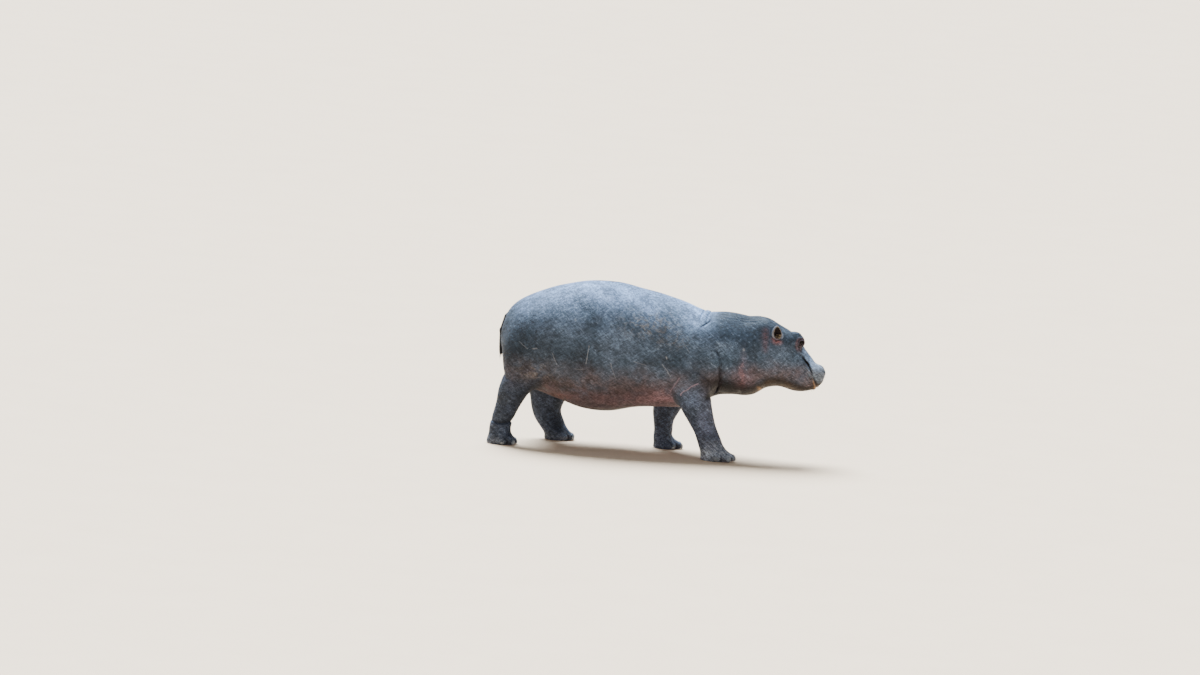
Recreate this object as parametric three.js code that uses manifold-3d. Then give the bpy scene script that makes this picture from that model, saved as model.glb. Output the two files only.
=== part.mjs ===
// A young hippopotamus walking, life size, as a still museum model.
// Frame: +X is forward, +Z is up, -Y is the animal's right side. Millimetres.
// The origin is on the floor under the middle of the model.
import * as THREE from 'three';
import { mergeVertices } from 'three/addons/utils/BufferGeometryUtils.js';
import Module from 'manifold-3d';

const wasm = await Module();
wasm.setup();

// ---------------------------------------------------------------- driving dimensions
const MIDDLE_X = -7.6;          // where the middle of the body's length falls on the body's own axis
const GAP = 0.3;                // clearance between neighbouring pieces
const HEAD_AT = [520, 0, 640];  // the poll, about which the head is turned
const HEAD_DOWN = 42;           // degrees the nose points below level
const HEAD_TURN = 7.5;          // degrees the head looks to the animal's left
const HEAD_LEAN = 5;            // degrees the head leans to the animal's left
const EYE_RADIUS = 17;
const EYE_AT = [153, 94, 149];          // along the nose, out, up from the nose line
const EAR_AT = [48, 120, 69];
const EAR_HEIGHT = 43;                  // half sizes of the ear's cup
const EAR_WIDTH = 27;
const EAR_DEPTH = 17;
const TOE_SPREAD = [-64, -20, 20, 64];  // degrees from the foot's own heading
const TOE_REACH_INNER = 84;
const TOE_REACH_OUTER = 62;
const NAIL_SIZE = [9, 15, 16];          // half thickness, half width, half height
const ANKLE_HEIGHT = 96;
const SKIN_COLOUR = 0x59616c;
const LEG_COLOUR = 0x3f444d;
const NAIL_COLOUR = 0x9a8d7c;
const EYE_COLOUR = 0x1a120e;

// facet sizes along, across and up
const CELL = {
  trunk: [96, 64, 62], neck: [70, 51, 51], head: [28, 25.5, 27], jaw: [33, 31, 30],
  leg: [36, 35, 52], foot: [31, 28, 25.5], tail: [13, 14, 28],
};

// sections of the trunk from rump to shoulder: top, bottom and half width
const TRUNK = {
  at:     [-890, -800, -690, -560, -420, -280, -140, 0, 120, 220, 330],
  top:    [796, 814, 832, 866, 894, 898, 874, 846, 811, 767, 732],
  bottom: [262, 252, 268, 252, 210, 203, 233, 249, 256, 292, 340],
  width:  [222, 264, 294, 312, 326, 330, 318, 296, 270, 250, 224],
  rear: [-430, 458], front: [180, 210], square: 2.15, endSquare: 3.2, pear: 0.08,
};
const NECK = {
  at:     [-60, 40, 120, 220, 300, 360, 420, 480, 540, 600],
  top:    [780, 778, 774, 771, 782, 782, 774, 760, 748, 737],
  bottom: [470, 440, 400, 358, 348, 344, 347, 358, 390, 440],
  width:  [236, 236, 234, 230, 222, 212, 202, 188, 168, 140],
  rear: [200, 120], front: [470, 165], square: 2.2, endSquare: 2.6, pear: 0.12,
};
// the skull and nose, along the nose line
const NOSE = {
  at:     [-90, -30, 40, 100, 160, 210, 250, 290, 330, 370],
  top:    [112, 128, 140, 142, 140, 138, 134, 127, 126, 118],
  bottom: [-90, -95, -95, -85, -60, -35, -20, -5, 5, 10],
  width:  [122, 134, 132, 120, 98, 78, 74, 86, 106, 112],
  rear: [-20, 100], front: [278, 100], square: 2.6, endSquare: 2.6, pear: 0,
};
// the lower jaw and cheek, along the same line
const JAW = {
  at:     [20, 60, 100, 150, 190, 235, 265, 300, 340, 375],
  top:    [120, 132, 140, 146, 140, 127, 116, 102, 82, 62],
  bottom: [-170, -172, -172, -165, -134, -90, -73, -61, -38, 0],
  width:  [136, 146, 148, 142, 135, 128, 124, 117, 104, 88],
  rear: [90, 90], front: [296, 90], square: 2.6, endSquare: 2.7, pear: 0,
};
// the throat, level with the ground
const THROAT = {
  at:     [-90, -20, 40, 100, 160, 220, 280, 340],
  top:    [-80, -70, -70, -80, -95, -104, -112, -120],
  bottom: [-288, -281, -247, -229, -235, -245, -245, -233],
  width:  [150, 152, 142, 128, 112, 104, 100, 90],
  rear: [-50, 90], front: [140, 100], square: 2.35, endSquare: 2.5, pear: 0,
};
// legs by height: centre, half length fore and aft, half width; the foot has its
// place, its heading in degrees and its size
const LEGS = {
  hind_right: {
    side: -1, foot: [-830, -176, -8, 0.84],
    at:     [20, 60, 95, 139, 219, 300, 380, 460, 560, 650],
    x:      [-828, -835, -836, -826, -798, -766, -714, -698, -690, -690],
    y:      [175, 177, 178, 180, 184, 187, 187, 180, 168, 155],
    length: [66, 60, 58, 58, 67, 88, 120, 138, 138, 112],
    width:  [56, 53, 52, 54, 62, 78, 90, 93, 90, 80],
    top: [480, 190],
    cut: [[-990, -60], [-650, -60], [-668, 215], [-612, 300], [-588, 390],
      [-628, 470], [-712, 510], [-805, 485], [-990, 430]],
  },
  front_right: {
    side: -1, foot: [342, -170, -20, 0.96],
    at:     [20, 60, 106, 145, 190, 258, 340, 420, 500, 600],
    x:      [330, 314, 296, 279, 256, 225, 200, 183, 168, 160],
    y:      [168, 170, 171, 172, 175, 180, 184, 184, 178, 165],
    length: [70, 67, 66, 66, 70, 83, 93, 96, 95, 85],
    width:  [58, 54, 52, 52, 55, 62, 72, 80, 80, 70],
    top: [450, 190],
    cut: [[150, -60], [560, -60], [560, 110], [348, 300], [322, 348],
      [288, 415], [190, 455], [105, 415], [72, 330], [84, 238]],
  },
  hind_left: {
    side: 1, foot: [-568, 176, 8, 0.84],
    at:     [20, 40, 107, 158, 224, 300, 380, 460, 560, 650],
    x:      [-570, -583, -624, -642, -640, -648, -672, -688, -690, -690],
    y:      [175, 176, 178, 180, 184, 187, 187, 180, 168, 155],
    length: [66, 68, 77, 80, 96, 112, 128, 138, 138, 112],
    width:  [58, 56, 54, 56, 64, 78, 90, 93, 90, 80],
    top: [480, 190],
    cut: [[-790, -60], [-400, -60], [-400, 60], [-492, 190], [-506, 290],
      [-545, 400], [-620, 470], [-700, 500], [-790, 470], [-828, 380], [-800, 220]],
  },
  front_left: {
    side: 1, foot: [24, 168, 14, 0.84],
    at:     [20, 49, 100, 150, 200, 258, 340, 420, 500, 600],
    x:      [24, 2, 1, -1, 8, 28, 72, 118, 148, 160],
    y:      [168, 170, 171, 172, 175, 180, 184, 184, 178, 165],
    length: [54, 50, 50, 55, 70, 84, 92, 97, 95, 85],
    width:  [55, 50, 49, 51, 55, 62, 72, 80, 80, 70],
    top: [450, 190],
    cut: [[-130, -60], [190, -60], [170, 120], [128, 225], [198, 300],
      [212, 380], [150, 440], [60, 415], [-20, 340], [-100, 238]],
  },
};
// planes that part the body: a point and the way the plane faces
const SHOULDER_PLANE = { x: 215, z: 790, lean: 9.8 };
const POLL_PLANE = { x: 560, z: 770, lean: -19.9 };
// the lower jaw's outline, along the nose and up from it
const JAW_CUT = [[440, 12], [288, 87], [226, 52], [182, -60], [166, -280], [440, -280]];
// the leg planes slope down towards the belly
const LEG_PLANE_INNER = 60;
const LEG_PLANE_HEIGHT = 243;

// ---------------------------------------------------------------- small mathematics
const rad = THREE.MathUtils.degToRad;
const clamp = THREE.MathUtils.clamp;
const ease = (from, to, v) => {
  const t = clamp((v - from) / (to - from), 0, 1);
  return t * t * (3 - 2 * t);
};

// a smooth line through the stations, level with its neighbours
function curve(at, values) {
  const last = at.length - 1;
  const slope = values.map((v, i) => {
    const a = Math.max(i - 1, 0);
    const b = Math.min(i + 1, last);
    return (values[b] - values[a]) / (at[b] - at[a]);
  });
  return (x) => {
    const q = clamp(x, at[0], at[last]);
    let i = 0;
    while (i < last - 1 && q > at[i + 1]) i += 1;
    const h = at[i + 1] - at[i];
    const t = (q - at[i]) / h;
    return values[i] * (1 + 2 * t) * (1 - t) ** 2 + slope[i] * h * t * (1 - t) ** 2
      + values[i + 1] * t * t * (3 - 2 * t) + slope[i + 1] * h * t * t * (t - 1);
  };
}
function blend(a, b, k) {
  const h = Math.max(k - Math.abs(a - b), 0) / k;
  return Math.min(a, b) - h * h * k * 0.25;
}
function egg(x, y, z, c, r) {
  const [p, q, s] = [x - c[0], y - c[1], z - c[2]];
  const k0 = Math.hypot(p / r[0], q / r[1], s / r[2]);
  const k1 = Math.hypot(p / r[0] ** 2, q / r[1] ** 2, s / r[2] ** 2);
  return k0 * (k0 - 1) / (k1 + 1e-9);
}
function rod(x, y, z, a, b, ra, rb) {
  const d = [b[0] - a[0], b[1] - a[1], b[2] - a[2]];
  const long = d[0] ** 2 + d[1] ** 2 + d[2] ** 2;
  const along = (x - a[0]) * d[0] + (y - a[1]) * d[1] + (z - a[2]) * d[2];
  const t = clamp(along / long, 0, 1);
  return Math.hypot(x - a[0] - t * d[0], y - a[1] - t * d[1], z - a[2] - t * d[2])
    - (ra + (rb - ra) * t);
}

// ---------------------------------------------------------------- forms of the body
// a form along a level axis with rounded ends
function barrel(s) {
  const top = curve(s.at, s.top);
  const bottom = curve(s.at, s.bottom);
  const width = curve(s.at, s.width);
  return (x, y, z) => {
    const t = top(x);
    const b = bottom(x);
    const half = (t - b) / 2;
    const mid = (t + b) / 2;
    const tz = (z - mid) / half;
    const ty = Math.abs(y) / (width(x) * (1 - s.pear * 1.2 * Math.tanh(tz / 1.2)));
    const ring = (ty ** s.square + Math.abs(tz) ** s.square) ** (1 / s.square);
    const end = Math.max((s.rear[0] - x) / s.rear[1], 0) + Math.max((x - s.front[0]) / s.front[1], 0);
    const rho = (ring ** s.endSquare + end ** s.endSquare) ** (1 / s.endSquare);
    const reach = (Math.hypot(y, z - mid) + 1) / (ring + 1 / half);
    return (rho - 1) * reach / (1 + (reach / (1.5 * half)) ** 4) ** 0.25;
  };
}
// a form standing up, for a leg
function pillar(s) {
  const cx = curve(s.at, s.x);
  const cy = curve(s.at, s.y);
  const long = curve(s.at, s.length);
  const wide = curve(s.at, s.width);
  return (x, y, z) => {
    const dx = x - cx(z);
    const dy = y - s.side * cy(z);
    const a = long(z);
    const ring = ((Math.abs(dx) / a) ** 2.3 + (Math.abs(dy) / wide(z)) ** 2.3) ** (1 / 2.3);
    const end = Math.max((z - s.top[0]) / s.top[1], 0);
    const rho = (ring ** 2.5 + end ** 2.5) ** 0.4;
    return (rho - 1) * ((Math.hypot(dx, dy) + 1) / (ring + 1 / a)) * 0.92;
  };
}
const trunkBarrel = barrel(TRUNK);
function trunkForm(x, y, z) {
  const rump = 1 - ease(-760, -560, x);
  const tucked = x - rump * 0.13 * (545 - z + Math.hypot(545 - z, 60));
  const cleft = 22 * Math.exp(-((y / 42) ** 2)) * ease(700, 600, z) * ease(-720, -820, x);
  return trunkBarrel(tucked, y, z) + rump * cleft;
}
const neckForm = barrel(NECK);
const noseBarrel = barrel(NOSE);
const jawBarrel = barrel(JAW);
const throatBarrel = barrel(THROAT);

// the head's own frame: it leans and turns about the poll, then points down
const headGroup = new THREE.Group();
headGroup.position.set(...HEAD_AT);
headGroup.rotation.set(rad(-HEAD_LEAN), 0, rad(HEAD_TURN), 'ZYX');
const noseGroup = new THREE.Group();
noseGroup.rotation.set(0, rad(HEAD_DOWN), 0);
headGroup.add(noseGroup);
headGroup.updateMatrixWorld(true);
const toHead = headGroup.matrixWorld.clone().invert();
const toNose = noseGroup.matrixWorld.clone().invert();
const point = new THREE.Vector3();

function headForm(x, y, z) {
  point.set(x, y, z).applyMatrix4(toHead);
  const [hx, hy, hz] = [point.x, point.y, point.z];
  point.set(x, y, z).applyMatrix4(toNose);
  const [s, t] = [point.x, point.z];
  const out = Math.abs(hy);
  let skull = noseBarrel(s, hy, t);
  skull = blend(skull, egg(s, out, t, [108, 78, 112], [50, 36, 35]), 26);   // brow
  skull = blend(skull, egg(s, out, t, [131, 84, 145], [44, 25, 34]), 12);   // eye mound
  skull = blend(skull, egg(s, out, t, [318, 64, 70], [66, 58, 56]), 30);    // whisker pad
  skull = blend(skull, egg(s, out, t, [336, 47, 112], [30, 26, 24]), 20);   // nostril
  let jaw = blend(jawBarrel(s, hy, t), throatBarrel(hx, hy, hz), 40);
  jaw = blend(jaw, egg(s, out, t, [85, 76, -14], [125, 76, 112]), 50);      // cheek
  jaw = blend(jaw, egg(s, out, t, [300, 66, 20], [62, 58, 52]), 30);        // lower lip
  return blend(skull, jaw, 10 + 40 * ease(205, 110, s) + 10 * ease(340, 370, s));
}
// a round pad with four toes, all in one scale
function footForm(x, y, z, foot) {
  const [fx, fy, heading, size] = foot;
  const turn = rad(heading);
  const dx = ((x - fx) * Math.cos(turn) + (y - fy) * Math.sin(turn)) / size;
  const dy = (-(x - fx) * Math.sin(turn) + (y - fy) * Math.cos(turn)) / size;
  const dz = z / size;
  let f = egg(dx, dy, dz, [-6, 0, 12], [80, 66, 58]);
  for (const degrees of TOE_SPREAD) {
    const r = rad(degrees);
    const far = Math.abs(degrees) < 30 ? TOE_REACH_INNER : TOE_REACH_OUTER;
    const heel = [28 * Math.cos(r), 28 * Math.sin(r), 40];
    const tip = [far * Math.cos(r), far * Math.sin(r), 21];
    f = blend(f, rod(dx, dy, dz, heel, tip, 28, 21), 8);
  }
  return f * size;
}
const legForms = Object.fromEntries(Object.entries(LEGS).map(([name, s]) => {
  const shaft = pillar(s);
  return [name, (x, y, z) => blend(shaft(x, y, z), footForm(x, y, z, s.foot), 26)];
}));
function bodyForm(x, y, z) {
  let f = blend(trunkForm(x, y, z), neckForm(x, y, z), 40);
  f = blend(f, headForm(x, y, z), 34);
  for (const leg of Object.values(legForms)) f = blend(f, leg(x, y, z), 54);
  return f;
}
function tailForm(x, y, z) {
  let f = rod(x, y, z, [-856, 0, 664], [-882, 0, 590], 20, 15);
  f = blend(f, rod(x, y, z, [-882, 0, 590], [-882, 0, 468], 15, 7), 8);
  return blend(f, egg(x, y, z, [-884, 0, 520], [9, 17, 60]), 10);
}

// ---------------------------------------------------------------- forms to facets
// the cells are shifted a little until no two folds of the surface share an edge
function facets(form, corner, high, cell) {
  for (let attempt = 0; attempt < 12; attempt += 1) {
    const low = corner.map((v, d) => v - cell[d] * 0.31 * ((attempt * (d + 1)) % 4));
    const net = surfaceNet(form, low, high, cell);
    if (net.clean) {
      return new wasm.Manifold(new wasm.Mesh({
        numProp: 3, vertProperties: net.position, triVerts: net.index,
      }));
    }
  }
  throw new Error('no clean net of facets was found');
}
// walks a box of even cells and joins one point in each cell that the surface crosses
function surfaceNet(form, low, high, cell) {
  const n = low.map((v, i) => Math.ceil((high[i] - v) / cell[i]) + 1);
  const at = (i, j, k) => [low[0] + i * cell[0], low[1] + j * cell[1], low[2] + k * cell[2]];
  const index = (i, j, k) => (i * n[1] + j) * n[2] + k;
  const value = new Float64Array(n[0] * n[1] * n[2]);
  const edge = (i, j, k) => i === 0 || j === 0 || k === 0
    || i === n[0] - 1 || j === n[1] - 1 || k === n[2] - 1;
  for (let i = 0; i < n[0]; i += 1) {
    for (let j = 0; j < n[1]; j += 1) {
      for (let k = 0; k < n[2]; k += 1) {
        const v = form(...at(i, j, k));
        value[index(i, j, k)] = edge(i, j, k) ? Math.max(v, cell[0] * 0.5) : v;
      }
    }
  }
  const corners = [0, 1, 2, 3, 4, 5, 6, 7].map((c) => [c >> 2, (c >> 1) & 1, c & 1]);
  const sides = [];
  corners.forEach((a, p) => corners.forEach((b, q) => {
    if (q > p && a[0] + a[1] + a[2] + 1 === b[0] + b[1] + b[2]
      && a.every((v, i) => b[i] >= v)) sides.push([a, b]);
  }));
  const position = [];
  const where = new Map();
  for (let i = 0; i < n[0] - 1; i += 1) {
    for (let j = 0; j < n[1] - 1; j += 1) {
      for (let k = 0; k < n[2] - 1; k += 1) {
        const sum = [0, 0, 0];
        let count = 0;
        for (const [a, b] of sides) {
          const va = value[index(i + a[0], j + a[1], k + a[2])];
          const vb = value[index(i + b[0], j + b[1], k + b[2])];
          if ((va < 0) !== (vb < 0)) {
            const t = va / (va - vb);
            for (let d = 0; d < 3; d += 1) sum[d] += a[d] + (b[d] - a[d]) * t;
            count += 1;
          }
        }
        if (count > 0) {
          let p = sum.map((v, d) => low[d] + ([i, j, k][d] + v / count) * cell[d]);
          const cut = i === 0 || j === 0 || k === 0
            || i === n[0] - 2 || j === n[1] - 2 || k === n[2] - 2;
          if (!cut) p = settle(form, p, cell[1] * 0.45);
          where.set(index(i, j, k), position.length / 3);
          position.push(...p);
        }
      }
    }
  }
  const triangles = [];
  const gapSquared = (a, b) => (position[3 * a] - position[3 * b]) ** 2
    + (position[3 * a + 1] - position[3 * b + 1]) ** 2 + (position[3 * a + 2] - position[3 * b + 2]) ** 2;
  for (let i = 0; i < n[0]; i += 1) {
    for (let j = 0; j < n[1]; j += 1) {
      for (let k = 0; k < n[2]; k += 1) {
        const here = [i, j, k];
        for (let d = 0; d < 3; d += 1) {
          const u = (d + 1) % 3;
          const w = (d + 2) % 3;
          const next = [...here];
          next[d] += 1;
          if (next[d] >= n[d] || here[u] === 0 || here[w] === 0) continue;
          const inside = value[index(...here)] < 0;
          if (inside === value[index(...next)] < 0) continue;
          const around = [[1, 1], [0, 1], [0, 0], [1, 0]].map(([a, b]) => {
            const c = [...here];
            c[u] -= a;
            c[w] -= b;
            return where.get(index(...c));
          });
          const quad = inside ? around : around.reverse();
          if (gapSquared(quad[0], quad[2]) < gapSquared(quad[1], quad[3])) {
            triangles.push(quad[0], quad[1], quad[2], quad[0], quad[2], quad[3]);
          } else {
            triangles.push(quad[1], quad[2], quad[3], quad[1], quad[3], quad[0]);
          }
        }
      }
    }
  }
  const uses = new Map();
  for (let t = 0; t < triangles.length; t += 3) {
    for (let d = 0; d < 3; d += 1) {
      const a = triangles[t + d];
      const b = triangles[t + ((d + 1) % 3)];
      const key = Math.min(a, b) * 1e6 + Math.max(a, b);
      uses.set(key, (uses.get(key) ?? 0) + 1);
    }
  }
  const clean = [...uses.values()].every((count) => count === 2);
  return { position: new Float32Array(position), index: new Uint32Array(triangles), clean };
}
// moves a point down the slope until it lies on the form
function settle(form, start, most) {
  let p = start;
  for (let step = 0; step < 4; step += 1) {
    const v = form(...p);
    const e = 0.5;
    const g = [0, 1, 2].map((d) => {
      const a = [...p];
      const b = [...p];
      a[d] += e;
      b[d] -= e;
      return (form(...a) - form(...b)) / (2 * e);
    });
    const size = g[0] ** 2 + g[1] ** 2 + g[2] ** 2 + 1e-6;
    p = p.map((q, d) => q - v * g[d] / size);
  }
  return p.map((q, d) => clamp(q, start[d] - most, start[d] + most));
}

// ---------------------------------------------------------------- cutting
function solidOf(geometry, matrix) {
  const bare = geometry.clone();
  for (const name of Object.keys(bare.attributes)) {
    if (name !== 'position') bare.deleteAttribute(name);
  }
  if (matrix) bare.applyMatrix4(matrix);
  const merged = mergeVertices(bare, 1e-3);
  return new wasm.Manifold(new wasm.Mesh({
    numProp: 3,
    vertProperties: new Float32Array(merged.attributes.position.array),
    triVerts: new Uint32Array(merged.index.array),
  }));
}
// half of space behind a leaning upright plane, as a very large block
function halfSpace(plane, shift, ahead) {
  const size = 4000;
  const geometry = new THREE.BoxGeometry(size, size, size);
  const matrix = new THREE.Matrix4().makeRotationY(rad(-plane.lean));
  matrix.setPosition(plane.x, 0, plane.z);
  geometry.translate((ahead ? 1 : -1) * (size / 2 + shift), 0, 0);
  return solidOf(geometry, matrix);
}
// an outline moved in by a distance
function inset(outline, distance) {
  const count = outline.length;
  const area = outline.reduce((sum, p, i) => {
    const q = outline[(i + 1) % count];
    return sum + p[0] * q[1] - q[0] * p[1];
  }, 0);
  const way = Math.sign(area);
  return outline.map((p, i) => {
    const a = outline[(i + count - 1) % count];
    const b = outline[(i + 1) % count];
    const d1 = new THREE.Vector2(p[0] - a[0], p[1] - a[1]).normalize();
    const d2 = new THREE.Vector2(b[0] - p[0], b[1] - p[1]).normalize();
    const n1 = new THREE.Vector2(-d1.y, d1.x).multiplyScalar(way);
    const n2 = new THREE.Vector2(-d2.y, d2.x).multiplyScalar(way);
    const k = distance / (1 + n1.dot(n2));
    return [p[0] + (n1.x + n2.x) * k, p[1] + (n1.y + n2.y) * k];
  });
}
// an upright slice with a given outline in length and height, between two widths
function slice(outline, from, to, matrix) {
  const shape = new THREE.Shape(outline.map(([x, z]) => new THREE.Vector2(x, z)));
  const geometry = new THREE.ExtrudeGeometry(shape, { depth: to - from, bevelEnabled: false });
  geometry.rotateX(Math.PI / 2);
  geometry.translate(0, to, 0);
  return solidOf(geometry, matrix);
}
function legRegion(leg, shrink) {
  const outline = inset(leg.cut, shrink);
  const region = leg.side < 0 ? slice(outline, -600, -20 - shrink) : slice(outline, 20 + shrink, 600);
  const size = 3000;
  const block = new THREE.BoxGeometry(size, size, size);
  block.translate(0, 0, -size / 2 - shrink);
  const matrix = new THREE.Matrix4().makeRotationX(rad(45 * leg.side));
  matrix.setPosition(0, leg.side * LEG_PLANE_INNER, LEG_PLANE_HEIGHT);
  return region.intersect(solidOf(block, matrix));
}
const largest = (solid) => solid.decompose().sort((a, b) => b.volume() - a.volume())[0];

// ---------------------------------------------------------------- the pieces
const hippo = new THREE.Group();
hippo.position.set(-MIDDLE_X, 0, 0);
const skin = new THREE.MeshStandardMaterial({ color: SKIN_COLOUR, roughness: 0.6, metalness: 0 });
const legSkin = new THREE.MeshStandardMaterial({ color: LEG_COLOUR, roughness: 0.65, metalness: 0 });
const horn = new THREE.MeshStandardMaterial({ color: NAIL_COLOUR, roughness: 0.5, metalness: 0 });
const glass = new THREE.MeshStandardMaterial({ color: EYE_COLOUR, roughness: 0.1, metalness: 0 });

// every corner is put on a hundredth of a millimetre, and facets that vanish are dropped
function tidy(solid) {
  const mesh = solid.getMesh();
  const seen = new Map();
  const position = [];
  const corner = [];
  for (let v = 0; v < mesh.vertProperties.length / 3; v += 1) {
    const p = [0, 1, 2].map((d) => Math.round(mesh.vertProperties[3 * v + d] * 100) / 100);
    const key = p.join(' ');
    if (!seen.has(key)) {
      seen.set(key, position.length / 3);
      position.push(...p);
    }
    corner.push(seen.get(key));
  }
  const index = [];
  for (let t = 0; t < mesh.triVerts.length; t += 3) {
    const [a, b, c] = [0, 1, 2].map((d) => corner[mesh.triVerts[t + d]]);
    if (a !== b && b !== c && a !== c) index.push(a, b, c);
  }
  return { position: new Float32Array(position), index: new Uint32Array(index) };
}
function place(name, solid, material) {
  const { position, index } = tidy(solid);
  const geometry = new THREE.BufferGeometry();
  geometry.setAttribute('position', new THREE.BufferAttribute(position, 3));
  geometry.setIndex(new THREE.BufferAttribute(index, 1));
  geometry.computeVertexNormals();
  const piece = new THREE.Mesh(geometry, material);
  piece.name = name;
  hippo.add(piece);
  return piece;
}

// trunk and neck, without the room the legs take
const room = Object.values(LEGS).map((leg) => legRegion(leg, 0));
const withoutLegs = (solid) => room.reduce((rest, region) => rest.subtract(region), solid);
const trunkRaw = facets(bodyForm, [-985, -405, 150], [340, 405, 1010], CELL.trunk);
const trunk = largest(withoutLegs(trunkRaw.intersect(halfSpace(SHOULDER_PLANE, GAP / 2, false))));
place('trunk', trunk, skin);

const neckRaw = facets(bodyForm, [130, -340, 250], [660, 340, 880], CELL.neck);
const neck = largest(withoutLegs(neckRaw.intersect(halfSpace(SHOULDER_PLANE, GAP / 2, true))
  .intersect(halfSpace(POLL_PLANE, GAP / 2, false))));
place('neck', neck, skin);

// head: skull with room for the eyes, and the lower jaw
const noseMatrix = noseGroup.matrixWorld;
const eyeMatrix = (side) => noseMatrix.clone().multiply(
  new THREE.Matrix4().makeTranslation(EYE_AT[0], side * EYE_AT[1], EYE_AT[2]),
);
const headRaw = facets(bodyForm, [372, -252, 286], [965, 290, 850], CELL.head);
const headWhole = headRaw.intersect(halfSpace(POLL_PLANE, GAP / 2, true));
let head = headWhole.subtract(slice(JAW_CUT, -400, 400, noseMatrix));
const jawRaw = facets(bodyForm, [500, -250, 290], [965, 290, 700], CELL.jaw);
const jaw = largest(jawRaw.intersect(slice(inset(JAW_CUT, GAP), -390, 390, noseMatrix)));
for (const side of [-1, 1]) {
  head = head.subtract(solidOf(new THREE.SphereGeometry(EYE_RADIUS + GAP, 12, 8), eyeMatrix(side)));
}
head = largest(head);
place('head', head, skin);
place('lower_jaw', jaw, skin);

for (const [word, side] of [['right', -1], ['left', 1]]) {
  place(`eye_${word}`, solidOf(new THREE.SphereGeometry(EYE_RADIUS, 12, 8), eyeMatrix(side)), glass);

  // ear: a cup that faces out, forward and a little up, standing on a short stalk
  const up = new THREE.Vector3(-0.62, 0.28 * side, 0.70).normalize();
  const face = new THREE.Vector3(0.22, 0.93 * side, 0.28);
  face.addScaledVector(up, -face.dot(up)).normalize();
  const across = new THREE.Vector3().crossVectors(face, up);
  const frame = new THREE.Matrix4().makeBasis(across, face, up);
  frame.setPosition(EAR_AT[0], side * EAR_AT[1], EAR_AT[2]);
  const wall = [];
  for (let i = 0; i <= 5; i += 1) {
    const a = (Math.PI / 2) * (i / 5);
    wall.push(new THREE.Vector2(Math.sin(a), -Math.cos(a) * EAR_DEPTH));
  }
  wall.push(new THREE.Vector2(0.97, 4));
  wall.push(new THREE.Vector2(0.86, 3));
  for (let i = 3; i >= 0; i -= 1) {
    const a = (Math.PI / 2) * (i / 4);
    wall.push(new THREE.Vector2(0.80 * Math.sin(a), -Math.cos(a) * (EAR_DEPTH - 13)));
  }
  wall[0].x = 0;
  wall[wall.length - 1].x = 0;
  const cup = new THREE.LatheGeometry(wall, 14);
  cup.scale(EAR_WIDTH, 1, EAR_HEIGHT);
  cup.translate(0, 0, 34);
  const corner = cup.attributes.position;
  for (let i = 0; i < corner.count; i += 1) {      // narrower towards the tip
    const rise = ease(30, 80, corner.getZ(i));
    corner.setX(i, (corner.getX(i) - side * 5 * rise) * (1 - 0.3 * rise));
  }
  const stalk = new THREE.SphereGeometry(1, 10, 7);
  stalk.scale(23, 19, 28);
  stalk.translate(0, -3, 0);
  const whole = noseMatrix.clone().multiply(frame);
  const outward = new THREE.Vector3(0, side, 0.3).transformDirection(noseMatrix).multiplyScalar(0.35);
  const ear = solidOf(cup, whole).add(solidOf(stalk, whole))
    .subtract(headWhole.translate(outward.toArray()));
  place(`ear_${word}`, largest(ear), skin);
}

// tail: free of the rump except for its root
const tailRaw = facets(tailForm, [-925, -40, 440], [-815, 40, 690], CELL.tail);
place('tail', largest(tailRaw.subtract(trunk.translate([-0.35, 0, 0.1]))), legSkin);

// legs, feet and nails
for (const [name, leg] of Object.entries(LEGS)) {
  const region = legRegion(leg, GAP);
  const xs = leg.cut.map((p) => p[0]);
  const y0 = leg.side < 0 ? -420 : -10;
  const low = [Math.max(Math.min(...xs), -950) - 20, y0, ANKLE_HEIGHT - 40];
  const high = [Math.min(Math.max(...xs), 420) + 20, y0 + 430, 560];
  const ankle = { x: 0, z: ANKLE_HEIGHT, lean: 90 };
  const raw = facets(bodyForm, low, high, CELL.leg);
  place(`leg_${name}`, largest(raw.intersect(region).intersect(halfSpace(ankle, GAP / 2, true))), legSkin);

  const [fx, fy, heading, size] = leg.foot;
  const bottom = facets(bodyForm, [fx - 130, fy - 110, -58], [fx + 140, fy + 110, ANKLE_HEIGHT + 40], CELL.foot);
  const floor = { x: 0, z: 0, lean: 90 };
  let foot = bottom.intersect(halfSpace(ankle, GAP / 2, false)).intersect(halfSpace(floor, 0, true));
  TOE_SPREAD.forEach((degrees, toe) => {
    const far = Math.abs(degrees) < 30 ? TOE_REACH_INNER : TOE_REACH_OUTER;
    const way = rad(heading + degrees);
    const reach = (far + 15) * size;
    const matrix = new THREE.Matrix4().makeRotationZ(way);
    matrix.setPosition(
      fx + reach * Math.cos(way), fy + reach * Math.sin(way), (NAIL_SIZE[2] + 3) * size,
    );
    const grown = new THREE.SphereGeometry(1, 6, 4);
    grown.scale(...NAIL_SIZE.map((v) => v * size + 2.2 * GAP));
    const nail = new THREE.SphereGeometry(1, 6, 4);
    nail.scale(...NAIL_SIZE.map((v) => v * size));
    foot = foot.subtract(solidOf(grown, matrix));
    place(`nail_${name}_${toe + 1}`, solidOf(nail, matrix), horn);
  });
  place(`foot_${name}`, largest(foot), legSkin);
}

export default hippo;
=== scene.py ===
import math

import bpy
import numpy as np
from mathutils import Matrix, Vector


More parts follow.
